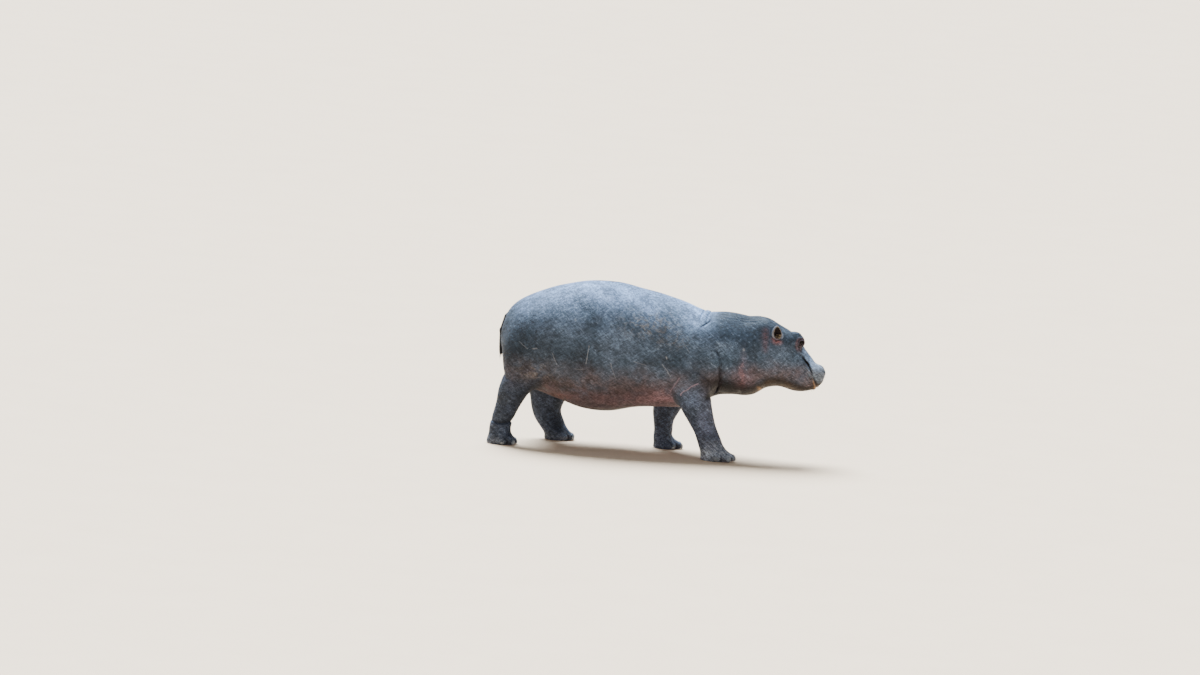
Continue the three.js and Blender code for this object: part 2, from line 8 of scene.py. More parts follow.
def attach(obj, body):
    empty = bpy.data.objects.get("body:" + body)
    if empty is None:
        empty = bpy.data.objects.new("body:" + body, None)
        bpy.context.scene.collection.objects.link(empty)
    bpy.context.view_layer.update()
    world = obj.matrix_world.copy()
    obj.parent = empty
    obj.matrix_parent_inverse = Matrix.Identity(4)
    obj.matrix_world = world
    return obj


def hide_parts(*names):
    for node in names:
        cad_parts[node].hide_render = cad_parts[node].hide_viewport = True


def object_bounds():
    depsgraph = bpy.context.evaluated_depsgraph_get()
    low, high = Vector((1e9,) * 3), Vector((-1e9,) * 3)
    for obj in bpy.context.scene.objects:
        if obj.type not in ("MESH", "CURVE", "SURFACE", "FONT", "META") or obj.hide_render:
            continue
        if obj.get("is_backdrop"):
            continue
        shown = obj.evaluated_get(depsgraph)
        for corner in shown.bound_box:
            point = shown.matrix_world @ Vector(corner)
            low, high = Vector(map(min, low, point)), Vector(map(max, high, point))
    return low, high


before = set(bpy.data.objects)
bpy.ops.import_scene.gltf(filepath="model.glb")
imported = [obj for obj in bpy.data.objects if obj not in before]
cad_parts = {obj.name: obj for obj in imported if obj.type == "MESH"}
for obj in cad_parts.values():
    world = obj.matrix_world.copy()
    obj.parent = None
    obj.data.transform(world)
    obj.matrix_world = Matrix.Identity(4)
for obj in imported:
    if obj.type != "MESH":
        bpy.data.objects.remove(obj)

cad_low, cad_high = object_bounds()

# ------------------------------------------------------------------ camera
# A long lens looks at the animal's right side, from a little ahead of it and
# a little above, and is held slightly tilted.
MIDDLE_X = 0.0076                       # the body's own origin along the length
VIEW_TURN, VIEW_RISE, VIEW_TILT = 8.0, 7.0, 3.5
VIEW_FROM, VIEW_WIDTH, SENSOR = 48.0, 6.4516, 36.0
AIM_BEHIND, AIM_ABOVE = 0.3097, 0.6129
turn, rise, tilt = (math.radians(a) for a in (VIEW_TURN, VIEW_RISE, VIEW_TILT))
back = Vector((math.sin(turn) * math.cos(rise), -math.cos(turn) * math.cos(rise), math.sin(rise)))
level = Vector((math.cos(turn), math.sin(turn), 0.0))
above = back.cross(level)
right = level * math.cos(tilt) + above * math.sin(tilt)
upward = above * math.cos(tilt) - level * math.sin(tilt)
aim = Vector((MIDDLE_X, 0, 0)) - right * AIM_BEHIND + upward * AIM_ABOVE
lens = bpy.data.cameras.new("camera")
lens.lens = SENSOR * VIEW_FROM / VIEW_WIDTH
lens.sensor_width = SENSOR
lens.clip_start, lens.clip_end = 1.0, 400.0
camera = bpy.data.objects.new("camera", lens)
camera.matrix_world = (Matrix.Translation(aim + back * VIEW_FROM)
                       @ Matrix((right, upward, back)).transposed().to_4x4())
bpy.context.scene.collection.objects.link(camera)
bpy.context.scene.camera = camera

# ------------------------------------------------------------------ floor and light
# A plain pale floor of fine plaster, a wide soft light overhead and a pale
# even sky.


def paint(red, green, blue):
    """a paint-chart colour as the light values that a shader takes"""
    return tuple((c / 255 / 12.92 if c < 10.3 else ((c / 255 + 0.055) / 1.055) ** 2.4)
                 for c in (red, green, blue)) + (1.0,)


class Finish:
    """a material whose nodes are added one line at a time"""

    def __init__(self, name):
        self.material = bpy.data.materials.new(name)
        self.material.use_nodes = True
        self.tree = self.material.node_tree
        self.tree.nodes.clear()
        self.shader = self.add("ShaderNodeBsdfPrincipled")
        end = self.add("ShaderNodeOutputMaterial")
        self.join(self.shader.outputs[0], end.inputs[0])
        self.place = self.add("ShaderNodeTexCoord").outputs["Object"]

    def add(self, kind, **settings):
        node = self.tree.nodes.new(kind)
        for key, value in settings.items():
            setattr(node, key, value)
        return node

    def join(self, source, socket):
        if hasattr(source, "is_output"):
            self.tree.links.new(source, socket)
        else:
            socket.default_value = source

    def set(self, **values):
        for key, value in values.items():
            self.join(value, self.shader.inputs[key.replace("_", " ")])

    def stretched(self, x, y, z, turn=0.0):
        node = self.add("ShaderNodeMapping", vector_type="TEXTURE")
        self.join(self.place, node.inputs["Vector"])
        node.inputs["Scale"].default_value = (1 / x, 1 / y, 1 / z)
        node.inputs["Rotation"].default_value = (0, math.radians(turn), 0)
        return node.outputs[0]

    def noise(self, scale, detail=3.0, rough=0.55, place=None, warp=0.0):
        node = self.add("ShaderNodeTexNoise")
        self.join(place or self.place, node.inputs["Vector"])
        settings = dict(Scale=scale, Detail=detail, Roughness=rough, Distortion=warp)
        for key, value in settings.items():
            node.inputs[key].default_value = value
        return node.outputs[0]

    def cells(self, scale, feature="F1"):
        node = self.add("ShaderNodeTexVoronoi", feature=feature)
        self.join(self.place, node.inputs["Vector"])
        node.inputs["Scale"].default_value = scale
        return node.outputs["Distance"]

    def sum(self, way, a, b=0.0, c=0.0):
        node = self.add("ShaderNodeMath", operation=way)
        for socket, value in zip(node.inputs, (a, b, c)):
            self.join(value, socket)
        return node.outputs[0]

    def times(self, first, *more):
        for value in more:
            first = self.sum("MULTIPLY", first, value)
        return first

    def ramp(self, value, low, high, to_low=0.0, to_high=1.0):
        node = self.add("ShaderNodeMapRange", interpolation_type="SMOOTHSTEP")
        for socket, v in zip(node.inputs, (value, low, high, to_low, to_high)):
            self.join(v, socket)
        return node.outputs[0]

    def mix(self, amount, a, b, way="MIX"):
        node = self.add("ShaderNodeMix", data_type="RGBA", blend_type=way)
        self.join(amount, node.inputs[0])
        self.join(a, node.inputs[6])
        self.join(b, node.inputs[7])
        return node.outputs[2]

    def grey(self, value):
        node = self.add("ShaderNodeCombineColor")
        for socket in node.inputs:
            self.join(value, socket)
        return node.outputs[0]

    def mark(self, name):
        return self.add("ShaderNodeAttribute", attribute_name=name).outputs["Fac"]

    def vector(self, way, a, b):
        node = self.add("ShaderNodeVectorMath", operation=way)
        self.join(a, node.inputs[0])
        self.join(b, node.inputs["Scale" if way == "SCALE" else 1])
        return node.outputs["Value" if way in ("DOT_PRODUCT", "DISTANCE") else "Vector"]

    def bump(self, height, depth, under=None, strength=1.0):
        node = self.add("ShaderNodeBump")
        self.join(height, node.inputs["Height"])
        node.inputs["Distance"].default_value = depth
        node.inputs["Strength"].default_value = strength
        if under is not None:
            self.join(under, node.inputs["Normal"])
        return node.outputs[0]


FLOOR_HALF = 90.0
plaster = Finish("pale plaster")
speckle = plaster.noise(2.5, 4.0)
plaster.set(Base_Color=plaster.mix(speckle, paint(228, 196, 162), paint(236, 204, 170)),
            Roughness=0.9)
floor_mesh = bpy.data.meshes.new("floor")
floor_mesh.from_pydata([(a * FLOOR_HALF, b * FLOOR_HALF, 0) for a, b in ((-1, -1), (1, -1), (1, 1), (-1, 1))],
                       [], [(0, 1, 2, 3)])
floor_mesh.materials.append(plaster.material)
floor = bpy.data.objects.new("floor", floor_mesh)
bpy.context.scene.collection.objects.link(floor)
floor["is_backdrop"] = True


def soft_light(name, toward, spread, strength, colour):
    """a very wide lamp, far off, that shines the given way"""
    lamp = bpy.data.lights.new(name, "SUN")
    lamp.angle, lamp.energy, lamp.color = math.radians(spread), strength, colour
    holder = bpy.data.objects.new(name, lamp)
    holder.location = (0, 0, 6)
    holder.rotation_euler = Vector(toward).to_track_quat("-Z", "Y").to_euler()
    bpy.context.scene.collection.objects.link(holder)


soft_light("overhead", (0.22, -0.46, -0.86), 40, 18.5, (0.72, 0.86, 1.0))
soft_light("near fill", (-0.3, 0.8, -0.5), 50, 0.4, (0.88, 0.95, 1.0))
sky = bpy.data.worlds.new("sky")
sky.use_nodes = True
sky.node_tree.nodes["Background"].inputs["Color"].default_value = (0.80, 0.88, 1.0, 1.0)
sky.node_tree.nodes["Background"].inputs["Strength"].default_value = 0.42
bpy.context.scene.world = sky

# ------------------------------------------------------------------ skin
# One hide over trunk, neck, head, ears, tail and legs: thick, nearly bare,
# slate grey above and pink-brown below, creased where the body bends. It is
# shaped in millimetres, as the sum of the same rounded forms as the solids.
HEAD_AT = (520.0, 0.0, 640.0)
HEAD_DOWN, HEAD_TURN, HEAD_LEAN = (math.radians(a) for a in (42.0, 7.5, 5.0))
EYE_AT, EYE_RADIUS = (153.0, 94.0, 149.0), 17.0
EYE_FACES = (0.22, 0.93, 0.20)
EYE_OPENING, EYE_DROP = (12.5, 10.2), 0.6   # half across and half up, and how far it sits low
EAR_AT, EAR_UP, EAR_FACES = (48.0, 120.0, 69.0), (-0.62, 0.28, 0.70), (0.22, 0.93, 0.28)
TOE_SPREAD, TOE_REACH = (-64, -20, 20, 64), (62, 84, 84, 62)
NAIL_SIZE, NAIL_HEIGHT, NAIL_OUT = (9.0, 15.0, 16.0), 19.0, 15.0
TRUNK = dict(
    at=(-890, -800, -690, -560, -420, -280, -140, 0, 120, 220, 330),
    top=(796, 814, 832, 866, 894, 898, 874, 846, 811, 767, 732),
    bottom=(262, 252, 268, 252, 210, 203, 233, 249, 256, 292, 340),
    width=(222, 264, 294, 312, 326, 330, 318, 296, 270, 250, 224),
    rear=(-430, 458), front=(180, 210), square=2.15, end_square=3.2, pear=0.08)
NECK = dict(
    at=(-60, 40, 120, 220, 300, 360, 420, 480, 540, 600),
    top=(780, 778, 774, 771, 782, 782, 774, 760, 748, 737),
    bottom=(470, 440, 400, 358, 348, 344, 347, 358, 390, 440),
    width=(236, 236, 234, 230, 222, 212, 202, 188, 168, 140),
    rear=(200, 120), front=(470, 165), square=2.2, end_square=2.6, pear=0.12)
NOSE = dict(
    at=(-90, -30, 40, 100, 160, 210, 250, 290, 330, 370),
    top=(112, 128, 140, 142, 140, 138, 134, 127, 126, 118),
    bottom=(-90, -95, -95, -85, -60, -35, -20, -5, 5, 10),
    width=(122, 134, 132, 120, 98, 78, 74, 86, 106, 112),
    rear=(-20, 100), front=(278, 100), square=2.6, end_square=2.6, pear=0)
JAW = dict(
    at=(20, 60, 100, 150, 190, 235, 265, 300, 340, 375),
    top=(120, 132, 140, 146, 140, 127, 116, 102, 82, 62),
    bottom=(-170, -172, -172, -165, -134, -90, -73, -61, -38, 0),
    width=(136, 146, 148, 142, 135, 128, 124, 117, 104, 88),
    rear=(90, 90), front=(296, 90), square=2.6, end_square=2.7, pear=0)
THROAT = dict(
    at=(-90, -20, 40, 100, 160, 220, 280, 340),
    top=(-80, -70, -70, -80, -95, -104, -112, -120),
    bottom=(-288, -281, -247, -229, -235, -245, -245, -233),
    width=(150, 152, 142, 128, 112, 104, 100, 90),
    rear=(-50, 90), front=(140, 100), square=2.35, end_square=2.5, pear=0)
LEGS = dict(
    hind_right=dict(
        side=-1, foot=(-830, -176, -8, 0.84), top=(480, 190),
        at=(20, 60, 95, 139, 219, 300, 380, 460, 560, 650),
        x=(-828, -835, -836, -826, -798, -766, -714, -698, -690, -690),
        y=(175, 177, 178, 180, 184, 187, 187, 180, 168, 155),
        length=(66, 60, 58, 58, 67, 88, 120, 138, 138, 112),
        width=(56, 53, 52, 54, 62, 78, 90, 93, 90, 80)),
    front_right=dict(
        side=-1, foot=(342, -170, -20, 0.96), top=(450, 190),
        at=(20, 60, 106, 145, 190, 258, 340, 420, 500, 600),
        x=(330, 314, 296, 279, 256, 225, 200, 183, 168, 160),
        y=(168, 170, 171, 172, 175, 180, 184, 184, 178, 165),
        length=(70, 67, 66, 66, 70, 83, 93, 96, 95, 85),
        width=(58, 54, 52, 52, 55, 62, 72, 80, 80, 70)),
    hind_left=dict(
        side=1, foot=(-568, 176, 8, 0.84), top=(480, 190),
        at=(20, 40, 107, 158, 224, 300, 380, 460, 560, 650),
        x=(-570, -583, -624, -642, -640, -648, -672, -688, -690, -690),
        y=(175, 176, 178, 180, 184, 187, 187, 180, 168, 155),
        length=(66, 68, 77, 80, 96, 112, 128, 138, 138, 112),
        width=(58, 56, 54, 56, 64, 78, 90, 93, 90, 80)),
    front_left=dict(
        side=1, foot=(24, 168, 14, 0.84), top=(450, 190),
        at=(20, 49, 100, 150, 200, 258, 340, 420, 500, 600),
        x=(24, 2, 1, -1, 8, 28, 72, 118, 148, 160),
        y=(168, 170, 171, 172, 175, 180, 184, 184, 178, 165),
        length=(54, 50, 50, 55, 70, 84, 92, 97, 95, 85),
        width=(55, 50, 49, 51, 55, 62, 72, 80, 80, 70)))
LEG_SQUARE, LEG_END_SQUARE, LEG_SLOPE = 2.3, 2.5, 0.92
FILLET = dict(neck=40, head=34, throat=40, foot=26, leg=54, ear=6, tail=10, floor=10)
FAR = 900.0                             # stands for a form that is out of reach


def ease(start, end, v):
    """a soft step from 0 to 1"""
    t = np.clip((v - start) / (end - start), 0, 1)
    return t * t * (3 - 2 * t)


def bell(v, width):
    """1 in the middle, fading to 0 at both sides"""
    return np.exp(-(v / width) ** 2)


def curve(at, values):
    """a smooth line through stations"""
    at, values = np.array(at, float), np.array(values, float)
    slope = np.empty_like(values)
    slope[1:-1] = (values[2:] - values[:-2]) / (at[2:] - at[:-2])
    slope[0] = (values[1] - values[0]) / (at[1] - at[0])
    slope[-1] = (values[-1] - values[-2]) / (at[-1] - at[-2])

    def height(x):
        x = np.clip(x, at[0], at[-1])
        i = np.clip(np.searchsorted(at, x) - 1, 0, len(at) - 2)
        h = at[i + 1] - at[i]
        t = (x - at[i]) / h
        return (values[i] * (1 + 2 * t) * (1 - t) ** 2 + slope[i] * h * t * (1 - t) ** 2
                + values[i + 1] * t * t * (3 - 2 * t) + slope[i + 1] * h * t * t * (t - 1))
    return height


def blend(a, b, k):
    """two forms as one, with a fillet of about the size k between them"""
    h = np.maximum(k - np.abs(a - b), 0) / k
    return np.minimum(a, b) - h * h * k * 0.25


def carve(a, b, k):
    """the first form with the second taken out of it"""
    return -blend(-a, b, k)


def egg(x, y, z, centre, radii):
    p, q, r = x - centre[0], y - centre[1], z - centre[2]
    k0 = np.sqrt((p / radii[0]) ** 2 + (q / radii[1]) ** 2 + (r / radii[2]) ** 2)
    k1 = np.sqrt((p / radii[0] ** 2) ** 2 + (q / radii[1] ** 2) ** 2 + (r / radii[2] ** 2) ** 2)
    return k0 * (k0 - 1) / (k1 + 1e-9)


def rod(x, y, z, a, b, thick_a, thick_b):
    d = [q - p for p, q in zip(a, b)]
    long = sum(v * v for v in d)
    t = np.clip(((x - a[0]) * d[0] + (y - a[1]) * d[1] + (z - a[2]) * d[2]) / long, 0, 1)
    return np.sqrt((x - a[0] - t * d[0]) ** 2 + (y - a[1] - t * d[1]) ** 2
                   + (z - a[2] - t * d[2]) ** 2) - (thick_a + (thick_b - thick_a) * t)


def barrel(s):
    """a form along a level axis with rounded ends"""
    top, bottom, width = (curve(s["at"], s[k]) for k in ("top", "bottom", "width"))

    def form(x, y, z):
        t, b = top(x), bottom(x)
        half, mid = (t - b) / 2, (t + b) / 2
        tz = (z - mid) / half
        ty = np.abs(y) / (width(x) * (1 - s["pear"] * 1.2 * np.tanh(tz / 1.2)))
        ring = (ty ** s["square"] + np.abs(tz) ** s["square"]) ** (1 / s["square"])
        end = (np.maximum((s["rear"][0] - x) / s["rear"][1], 0)
               + np.maximum((x - s["front"][0]) / s["front"][1], 0))
        rho = (ring ** s["end_square"] + end ** s["end_square"]) ** (1 / s["end_square"])
        reach = (np.sqrt(y * y + (z - mid) ** 2) + 1) / (ring + 1 / half)
        return (rho - 1) * reach / (1 + (reach / (1.5 * half)) ** 4) ** 0.25
    return form


def pillar(s):
    """a form standing up, for a leg"""
    cx, cy, long, wide = (curve(s["at"], s[k]) for k in ("x", "y", "length", "width"))

    def form(x, y, z):
        dx, dy, a = x - cx(z), y - s["side"] * cy(z), long(z)
        ring = ((np.abs(dx) / a) ** LEG_SQUARE + (np.abs(dy) / wide(z)) ** LEG_SQUARE) ** (1 / LEG_SQUARE)
        end = np.maximum((z - s["top"][0]) / s["top"][1], 0)
        rho = (ring ** LEG_END_SQUARE + end ** LEG_END_SQUARE) ** (1 / LEG_END_SQUARE)
        return (rho - 1) * ((np.sqrt(dx * dx + dy * dy) + 1) / (ring + 1 / a)) * LEG_SLOPE
    return form


trunk_barrel, neck_barrel, nose_barrel, jaw_barrel, throat_barrel = (
    barrel(s) for s in (TRUNK, NECK, NOSE, JAW, THROAT))
leg_pillars = {name: pillar(s) for name, s in LEGS.items()}


def to_head(x, y, z):
    """the head's own frame: turned and leaned about the poll, level"""
    dx, dy, dz = x - HEAD_AT[0], y - HEAD_AT[1], z - HEAD_AT[2]
    c, s = math.cos(HEAD_TURN), math.sin(HEAD_TURN)
    dx, dy = dx * c + dy * s, -dx * s + dy * c
    c, s = math.cos(HEAD_LEAN), math.sin(HEAD_LEAN)
    return dx, dy * c - dz * s, dy * s + dz * c


def to_nose(hx, hz):
    """along the nose line and up from it"""
    c, s = math.cos(HEAD_DOWN), math.sin(HEAD_DOWN)
    return hx * c - hz * s, hx * s + hz * c


def from_nose(line, across, up):
    """from the nose's frame back to the body"""
    c, s = math.cos(HEAD_DOWN), math.sin(HEAD_DOWN)
    dx, dy, dz = line * c + up * s, across, -line * s + up * c
    c, s = math.cos(HEAD_LEAN), math.sin(HEAD_LEAN)
    dy, dz = dy * c + dz * s, -dy * s + dz * c
    c, s = math.cos(HEAD_TURN), math.sin(HEAD_TURN)
    dx, dy = dx * c - dy * s, dx * s + dy * c
    return dx + HEAD_AT[0], dy + HEAD_AT[1], dz + HEAD_AT[2]


def unit(v):
    v = np.array(v, float)
    return v / np.linalg.norm(v)


def basis(up, faces):
    """across, up and facing directions at right angles"""
    up = unit(up)
    faces = np.array(faces, float)
    faces = unit(faces - up * (faces @ up))
    return np.cross(faces, up), up, faces


ear_across, ear_up, ear_faces = basis(EAR_UP, EAR_FACES)
# the eye's opening lies level: its up is the world's up seen in the nose frame
_, eye_out, eye_up = basis(EYE_FACES, (-math.sin(HEAD_DOWN), 0.0, math.cos(HEAD_DOWN)))
eye_across = np.cross(eye_out, eye_up)
EAR_AXES, EYE_AXES = (ear_across, ear_up, ear_faces), (eye_across, eye_up, eye_out)


def in_frame(p, q, r, origin, axes):
    """how far a place is from an origin along each of three directions"""
    d = (p - origin[0], q - origin[1], r - origin[2])
    return [d[0] * a[0] + d[1] * a[1] + d[2] * a[2] for a in axes]


def line_gap(u, v, points):
    """distance from a broken line in a plane, how far along it from 0 to 1, and which hand"""
    best, along, hand = np.full(np.shape(u), 1e6), np.zeros(np.shape(u)), np.zeros(np.shape(u))
    steps = [math.dist(a, b) for a, b in zip(points, points[1:])]
    whole, done = sum(steps), 0.0
    for a, b, step in zip(points, points[1:], steps):
        du, dv = b[0] - a[0], b[1] - a[1]
        t = np.clip(((u - a[0]) * du + (v - a[1]) * dv) / step ** 2, 0, 1)
        gap = np.hypot(u - a[0] - t * du, v - a[1] - t * dv)
        near = gap < best
        best = np.where(near, gap, best)
        along = np.where(near, (done + t * step) / whole, along)
        hand = np.where(near, (u - a[0]) * dv - (v - a[1]) * du, hand)
        done += step
    return best, along, np.tanh(hand / 300)


def fading(along):
    """a crease fades at both ends"""
    return ease(0, 0.3, along) * ease(1, 0.72, along)


def groove(gap, along, hand, depth, width, step=0.0):
    """a crease; with a step, the skin ahead of it lies deeper"""
    ahead, lip = ease(0.7, -0.7, hand) * bell(gap, 40), bell(gap - 12, 11) * ease(-0.2, 0.7, hand)
    return fading(along) * (depth * bell(gap, width) + step * (ahead - 0.12 * lip))


def on_side(y, sides):
    """where a crease is: -1 is the right side, 1 the left, 0 both, and 2 both with the middle"""
    return (y * sides > 40) if abs(sides) == 1 else (np.abs(y) > 40 - 20 * sides)


def wander(x, y, z):
    """length and height with a little waver, so that no crease is a straight line"""
    return (x + 3.0 * np.sin(z / 19 + y / 47) + 1.4 * np.sin(z / 7.1 + x / 13),
            z + 3.0 * np.sin(x / 23 + y / 41) + 1.4 * np.sin(x / 8.3 - z / 11))


# creases along the body: a line in length and height, its side, its depth, its
# width, the step down in front of it, how much painted shade darkens its floor
CREASES = (
    # between neck and shoulder, and the edge of the loose skin at the chest
    (((300, 640), (326, 570), (335, 506), (336, 470)), 0, 4, 6, 8, 0.35),
    (((334, 540), (337, 490), (334, 446), (320, 400), (286, 330)), 0, 8, 8, 12, 0.9),
    (((176, 500), (230, 470), (264, 442), (282, 408), (294, 320)), -1, 1.2, 6, 5, 0.25),
    # the top of the foreleg: pale ridges of stretched skin on the right, creases on the left
    (((112, 318), (138, 349), (165, 374), (192, 395), (230, 414)), -1, -1.8, 4.5, 0, 0.0),
    (((80, 352), (92, 380), (109, 405), (130, 436)), -1, -1.2, 4, 0, 0.0),
    (((10, 322), (32, 352), (66, 380), (104, 398)), 1, 2, 7, 0, 0.1),
    (((130, 478), (176, 446), (196, 410), (200, 352)), 1, 3, 8, 4, 0.2),
    # beside the nape, across the throat, and the deep fold between throat and foreleg
    (((262, 772), (256, 752), (243, 732), (225, 714), (206, 700)), 0, 4.0, 4.5, 0, 0.5),
    (((416, 290), (426, 345), (433, 366), (438, 390)), 2, 9, 8, 0, 0.9),
    (((330, 452), (318, 418), (302, 382), (286, 350), (262, 312)), -1, 5, 13, 0, 1.25),
    # a fold above the hind foot
    (((-900, 136), (-855, 121), (-812, 114), (-775, 122), (-745, 140)), -1, 4.5, 6, 6, 0.5),
    # under the buttock and round the thigh
    (((-880, 410), (-822, 380), (-790, 362), (-740, 348), (-690, 336)), -1, 5, 17, 0, 0.12),
    (((-880, 400), (-815, 372), (-780, 352), (-735, 340)), -1, 1.6, 5, 0, 0.15),
    (((-850, 415), (-800, 396), (-760, 376), (-715, 360), (-660, 350), (-610, 338)), 1, 4, 15, 0, 0.12),
    # the edge of the flank above the groin
    (((-650, 322), (-610, 312), (-570, 292), (-528, 268)), 0, 4, 10, 0, 0.12),
)
# patches of fine folds: middle, reach, slope in degrees, spacing and depth
WRINKLES = (
    (-590, 350, 95, 42, -14, 15, 1.3), (-640, 470, 70, 70, -60, 18, 0.8), (-470, 290, 90, 30, -8, 16, 0.9),
    (-800, 290, 60, 60, -12, 16, 1.1), (-700, 250, 50, 60, 25, 16, 0.9), (-860, 200, 50, 60, -6, 15, 1.0),
    (284, 430, 40, 62, -52, 11, 1.3), (250, 300, 60, 70, -28, 14, 1.0), (175, 330, 60, 60, 38, 15, 0.9),
    (60, 340, 70, 60, 52, 17, 0.9), (60, 262, 110, 22, 0, 14, 1.0), (200, 250, 60, 60, -34, 14, 1.0),
    (20, 240, 60, 60, -10, 14, 1.0), (400, 560, 60, 110, 78, 21, 0.9), (250, 640, 60, 110, 66, 21, 1.0),
    (330, 690, 110, 60, 12, 17, 1.0), (470, 420, 60, 60, -70, 17, 1.0), (-820, 500, 60, 120, 80, 22, 0.8),
    (-300, 240, 200, 36, 2, 19, 0.8), (120, 520, 110, 90, 62, 22, 0.7), (300, 180, 60, 50, -24, 12, 1.0),
)
# the line between the lips, and how high the rings of wrinkles above a foot lie
MOUTH = ((150, 114), (172, 107), (213, 100), (247, 96), (275, 91), (303, 79), (332, 65),
         (361, 51), (384, 40), (440, 12))
RING_HEIGHTS = (112, 126, 143, 163, 186, 212)


def waves(x, y, z):
    """slow unevenness of the flesh"""
    return (np.sin(x / 31 + 1.3 * np.sin(z / 57 + 1.0) + y / 83)
            + np.sin(z / 27 + 1.7 * np.sin(x / 71 + 0.5) - y / 49)
            + np.sin((x + z) / 43 + 1.1 * np.sin(y / 37))
            + np.sin((x - 1.3 * z) / 61 + 2.0 + y / 29)) / 4


def ear_form(s, out, t):
    """a leaf-shaped cup on a short stalk; also how far the hollow's wall is"""
    b, a, c = in_frame(s, out, t, EAR_AT, EAR_AXES)
    wide = b / (1 - 0.30 * ease(30, 82, a)) + 5 * ease(30, 80, a)
    cup = egg(wide, c, a, (0, 0, 34), (27, 17, 43)) * 0.9
    hollow = egg(wide, c, a, (1, 14, 40), (22.5, 20, 34))
    ridge = 2.6 * bell(b - 4 - 0.1 * a, 3.5) * ease(6, 20, a) * ease(62, 46, a)
    form = carve(cup, hollow + ridge, 4)
    return blend(form, rod(b, c, a, (0, -4, -14), (0, -3, 12), 22, 19), 12), hollow


# rounded masses on both sides of the head, in the nose's frame: middle, reach, fillet
SKULL_MASSES = (
    ((108, 78, 112), (50, 36, 35), 26),     # behind and below the eye
    ((131, 84, 145), (44, 25, 34), 12),     # brow
    ((318, 64, 70), (66, 58, 56), 30),      # upper lip pad
    ((336, 47, 112), (30, 26, 24), 20),     # nostril mound
)
JAW_MASSES = (
    ((85, 76, -14), (125, 76, 112), 50),    # jowl
    ((300, 66, 20), (62, 58, 52), 30),      # lower lip
)
EYE_FOLDS = (
    (((92, 120), (98, 146), (112, 166), (136, 176), (160, 168)), 2.0),
    (((84, 128), (92, 156), (110, 176)), 1.2),
    (((128, 118), (150, 112), (170, 118), (182, 132)), 2.2),
)


def with_masses(form, masses, s, out, t):
    for centre, radii, fillet in masses:
        form = blend(form, egg(s, out, t, centre, radii), fillet)
    return form


def head_parts(x, y, z):
    """the head with its lids, nostrils and lips"""
    hx, hy, hz = to_head(x, y, z)
    s, t = to_nose(hx, hz)
    out = np.abs(hy)
    skull = with_masses(nose_barrel(s, hy, t), SKULL_MASSES, s, out, t)
    jaw = blend(jaw_barrel(s, hy, t), throat_barrel(hx, hy, hz), FILLET["throat"])
    jaw = with_masses(jaw, JAW_MASSES, s, out, t)
    form = blend(skull, jaw, 10 + 40 * ease(205, 110, s) + 10 * ease(340, 370, s))

    # lips: a deep crease that runs up the cheek to under the eye
    gap, along, hand = line_gap(s, t + 1.2 * np.sin(s / 9 + out / 14), MOUTH)
    deep = np.interp(along, (0, 0.1, 0.22, 0.42, 0.56, 0.76, 0.9), (0, 2.5, 9, 14, 5, 3.5, 2))
    side = np.minimum(ease(20, 45, out) + ease(330, 350, s), 1)
    plump = np.interp(along, (0.2, 0.4, 0.7, 0.82), (0.3, 0.34, 0.3, 0.0))
    form = form + side * deep * (bell(gap, 4.6) - plump * bell(gap - 10.5, 6.5))
    # uneven upright wrinkles along the lower lip
    lower = ease(0.0, 0.8, hand) * bell(gap - 24, 20) * ease(0.16, 0.3, along) * ease(0.84, 0.7, along)
    q = (s * 0.86 - t * 0.5) / 2.05 + 1.3 * np.sin(s / 21 + out / 9) + 0.8 * np.sin(t / 13)
    form = form + 1.3 * lower * np.sin(q) * (0.6 + 0.4 * np.sin(q * 0.37 + 1))

    # nostrils: slits that lean outwards on two low mounds
    n_across, n_along = s - 344, out - 44
    bend = n_along - 0.35 * n_across - 0.012 * n_across ** 2
    slit = bell(bend, 4.2) * bell(n_across, 14) * ease(70, 105, t)
    rim = bell(np.hypot(bend, n_across / 2.1) - 11, 4.5) * ease(70, 105, t)
    form = form + 12 * slit - 3.2 * rim

    # folds over and behind the eye
    for path, depth in EYE_FOLDS:
        gap, along, hand = line_gap(s, t, path)
        form = form + ease(60, 80, out) * groove(gap, along, hand, depth, 4.0)
    # creases round the root of the ear
    b, a, c = in_frame(s, out, t, EAR_AT, EAR_AXES)
    ring, high = np.hypot(b, c + 3) - 29, np.abs(a)
    form = form + 3.0 * bell(ring, 4.0) * ease(30, 10, high) - 2.0 * bell(ring - 9, 5) * ease(34, 12, high)
    return form, s, hy, t


def eye_gap(s, out, t):
    """distance from the eye's middle"""
    return np.sqrt((s - EYE_AT[0]) ** 2 + (out - EYE_AT[1]) ** 2 + (t - EYE_AT[2]) ** 2)


def eye_parts(form, s, out, t):
    """lids closed round an almond opening: a heavy upper fold and a puffy lower one"""
    u, v, w = in_frame(s, out, t, EYE_AT, EYE_AXES)
    r = np.sqrt(u * u + v * v + w * w)
    form = blend(form, r - (EYE_RADIUS + 2.6), 10)
    ring = np.sqrt((u / EYE_OPENING[0]) ** 2 + ((v - 0.010 * u * u + EYE_DROP) / EYE_OPENING[1]) ** 2)
    almond = (ring - 1) * 9.2
    front = ease(-4, 6, w) * ease(44, 30, r)
    above = ease(-0.35, 0.6, v / (np.abs(u) + np.abs(v) + 2))
    corner = ease(6, 16, np.abs(u))
    folds = (-1.9 * bell(almond - 2.4, 2.4)
             + (1.1 + 1.7 * above) * (1 - 0.5 * corner) * bell(almond - 8.5, 2.4)
             - (1.2 + 1.2 * above) * bell(almond - 14, 4) + (1.5 - 0.5 * above) * bell(almond - 21, 3))
    form = form + folds * front
    opening = np.maximum(np.maximum(almond, EYE_RADIUS - 1.3 - r), -w)
    return carve(form, opening, 1.4)


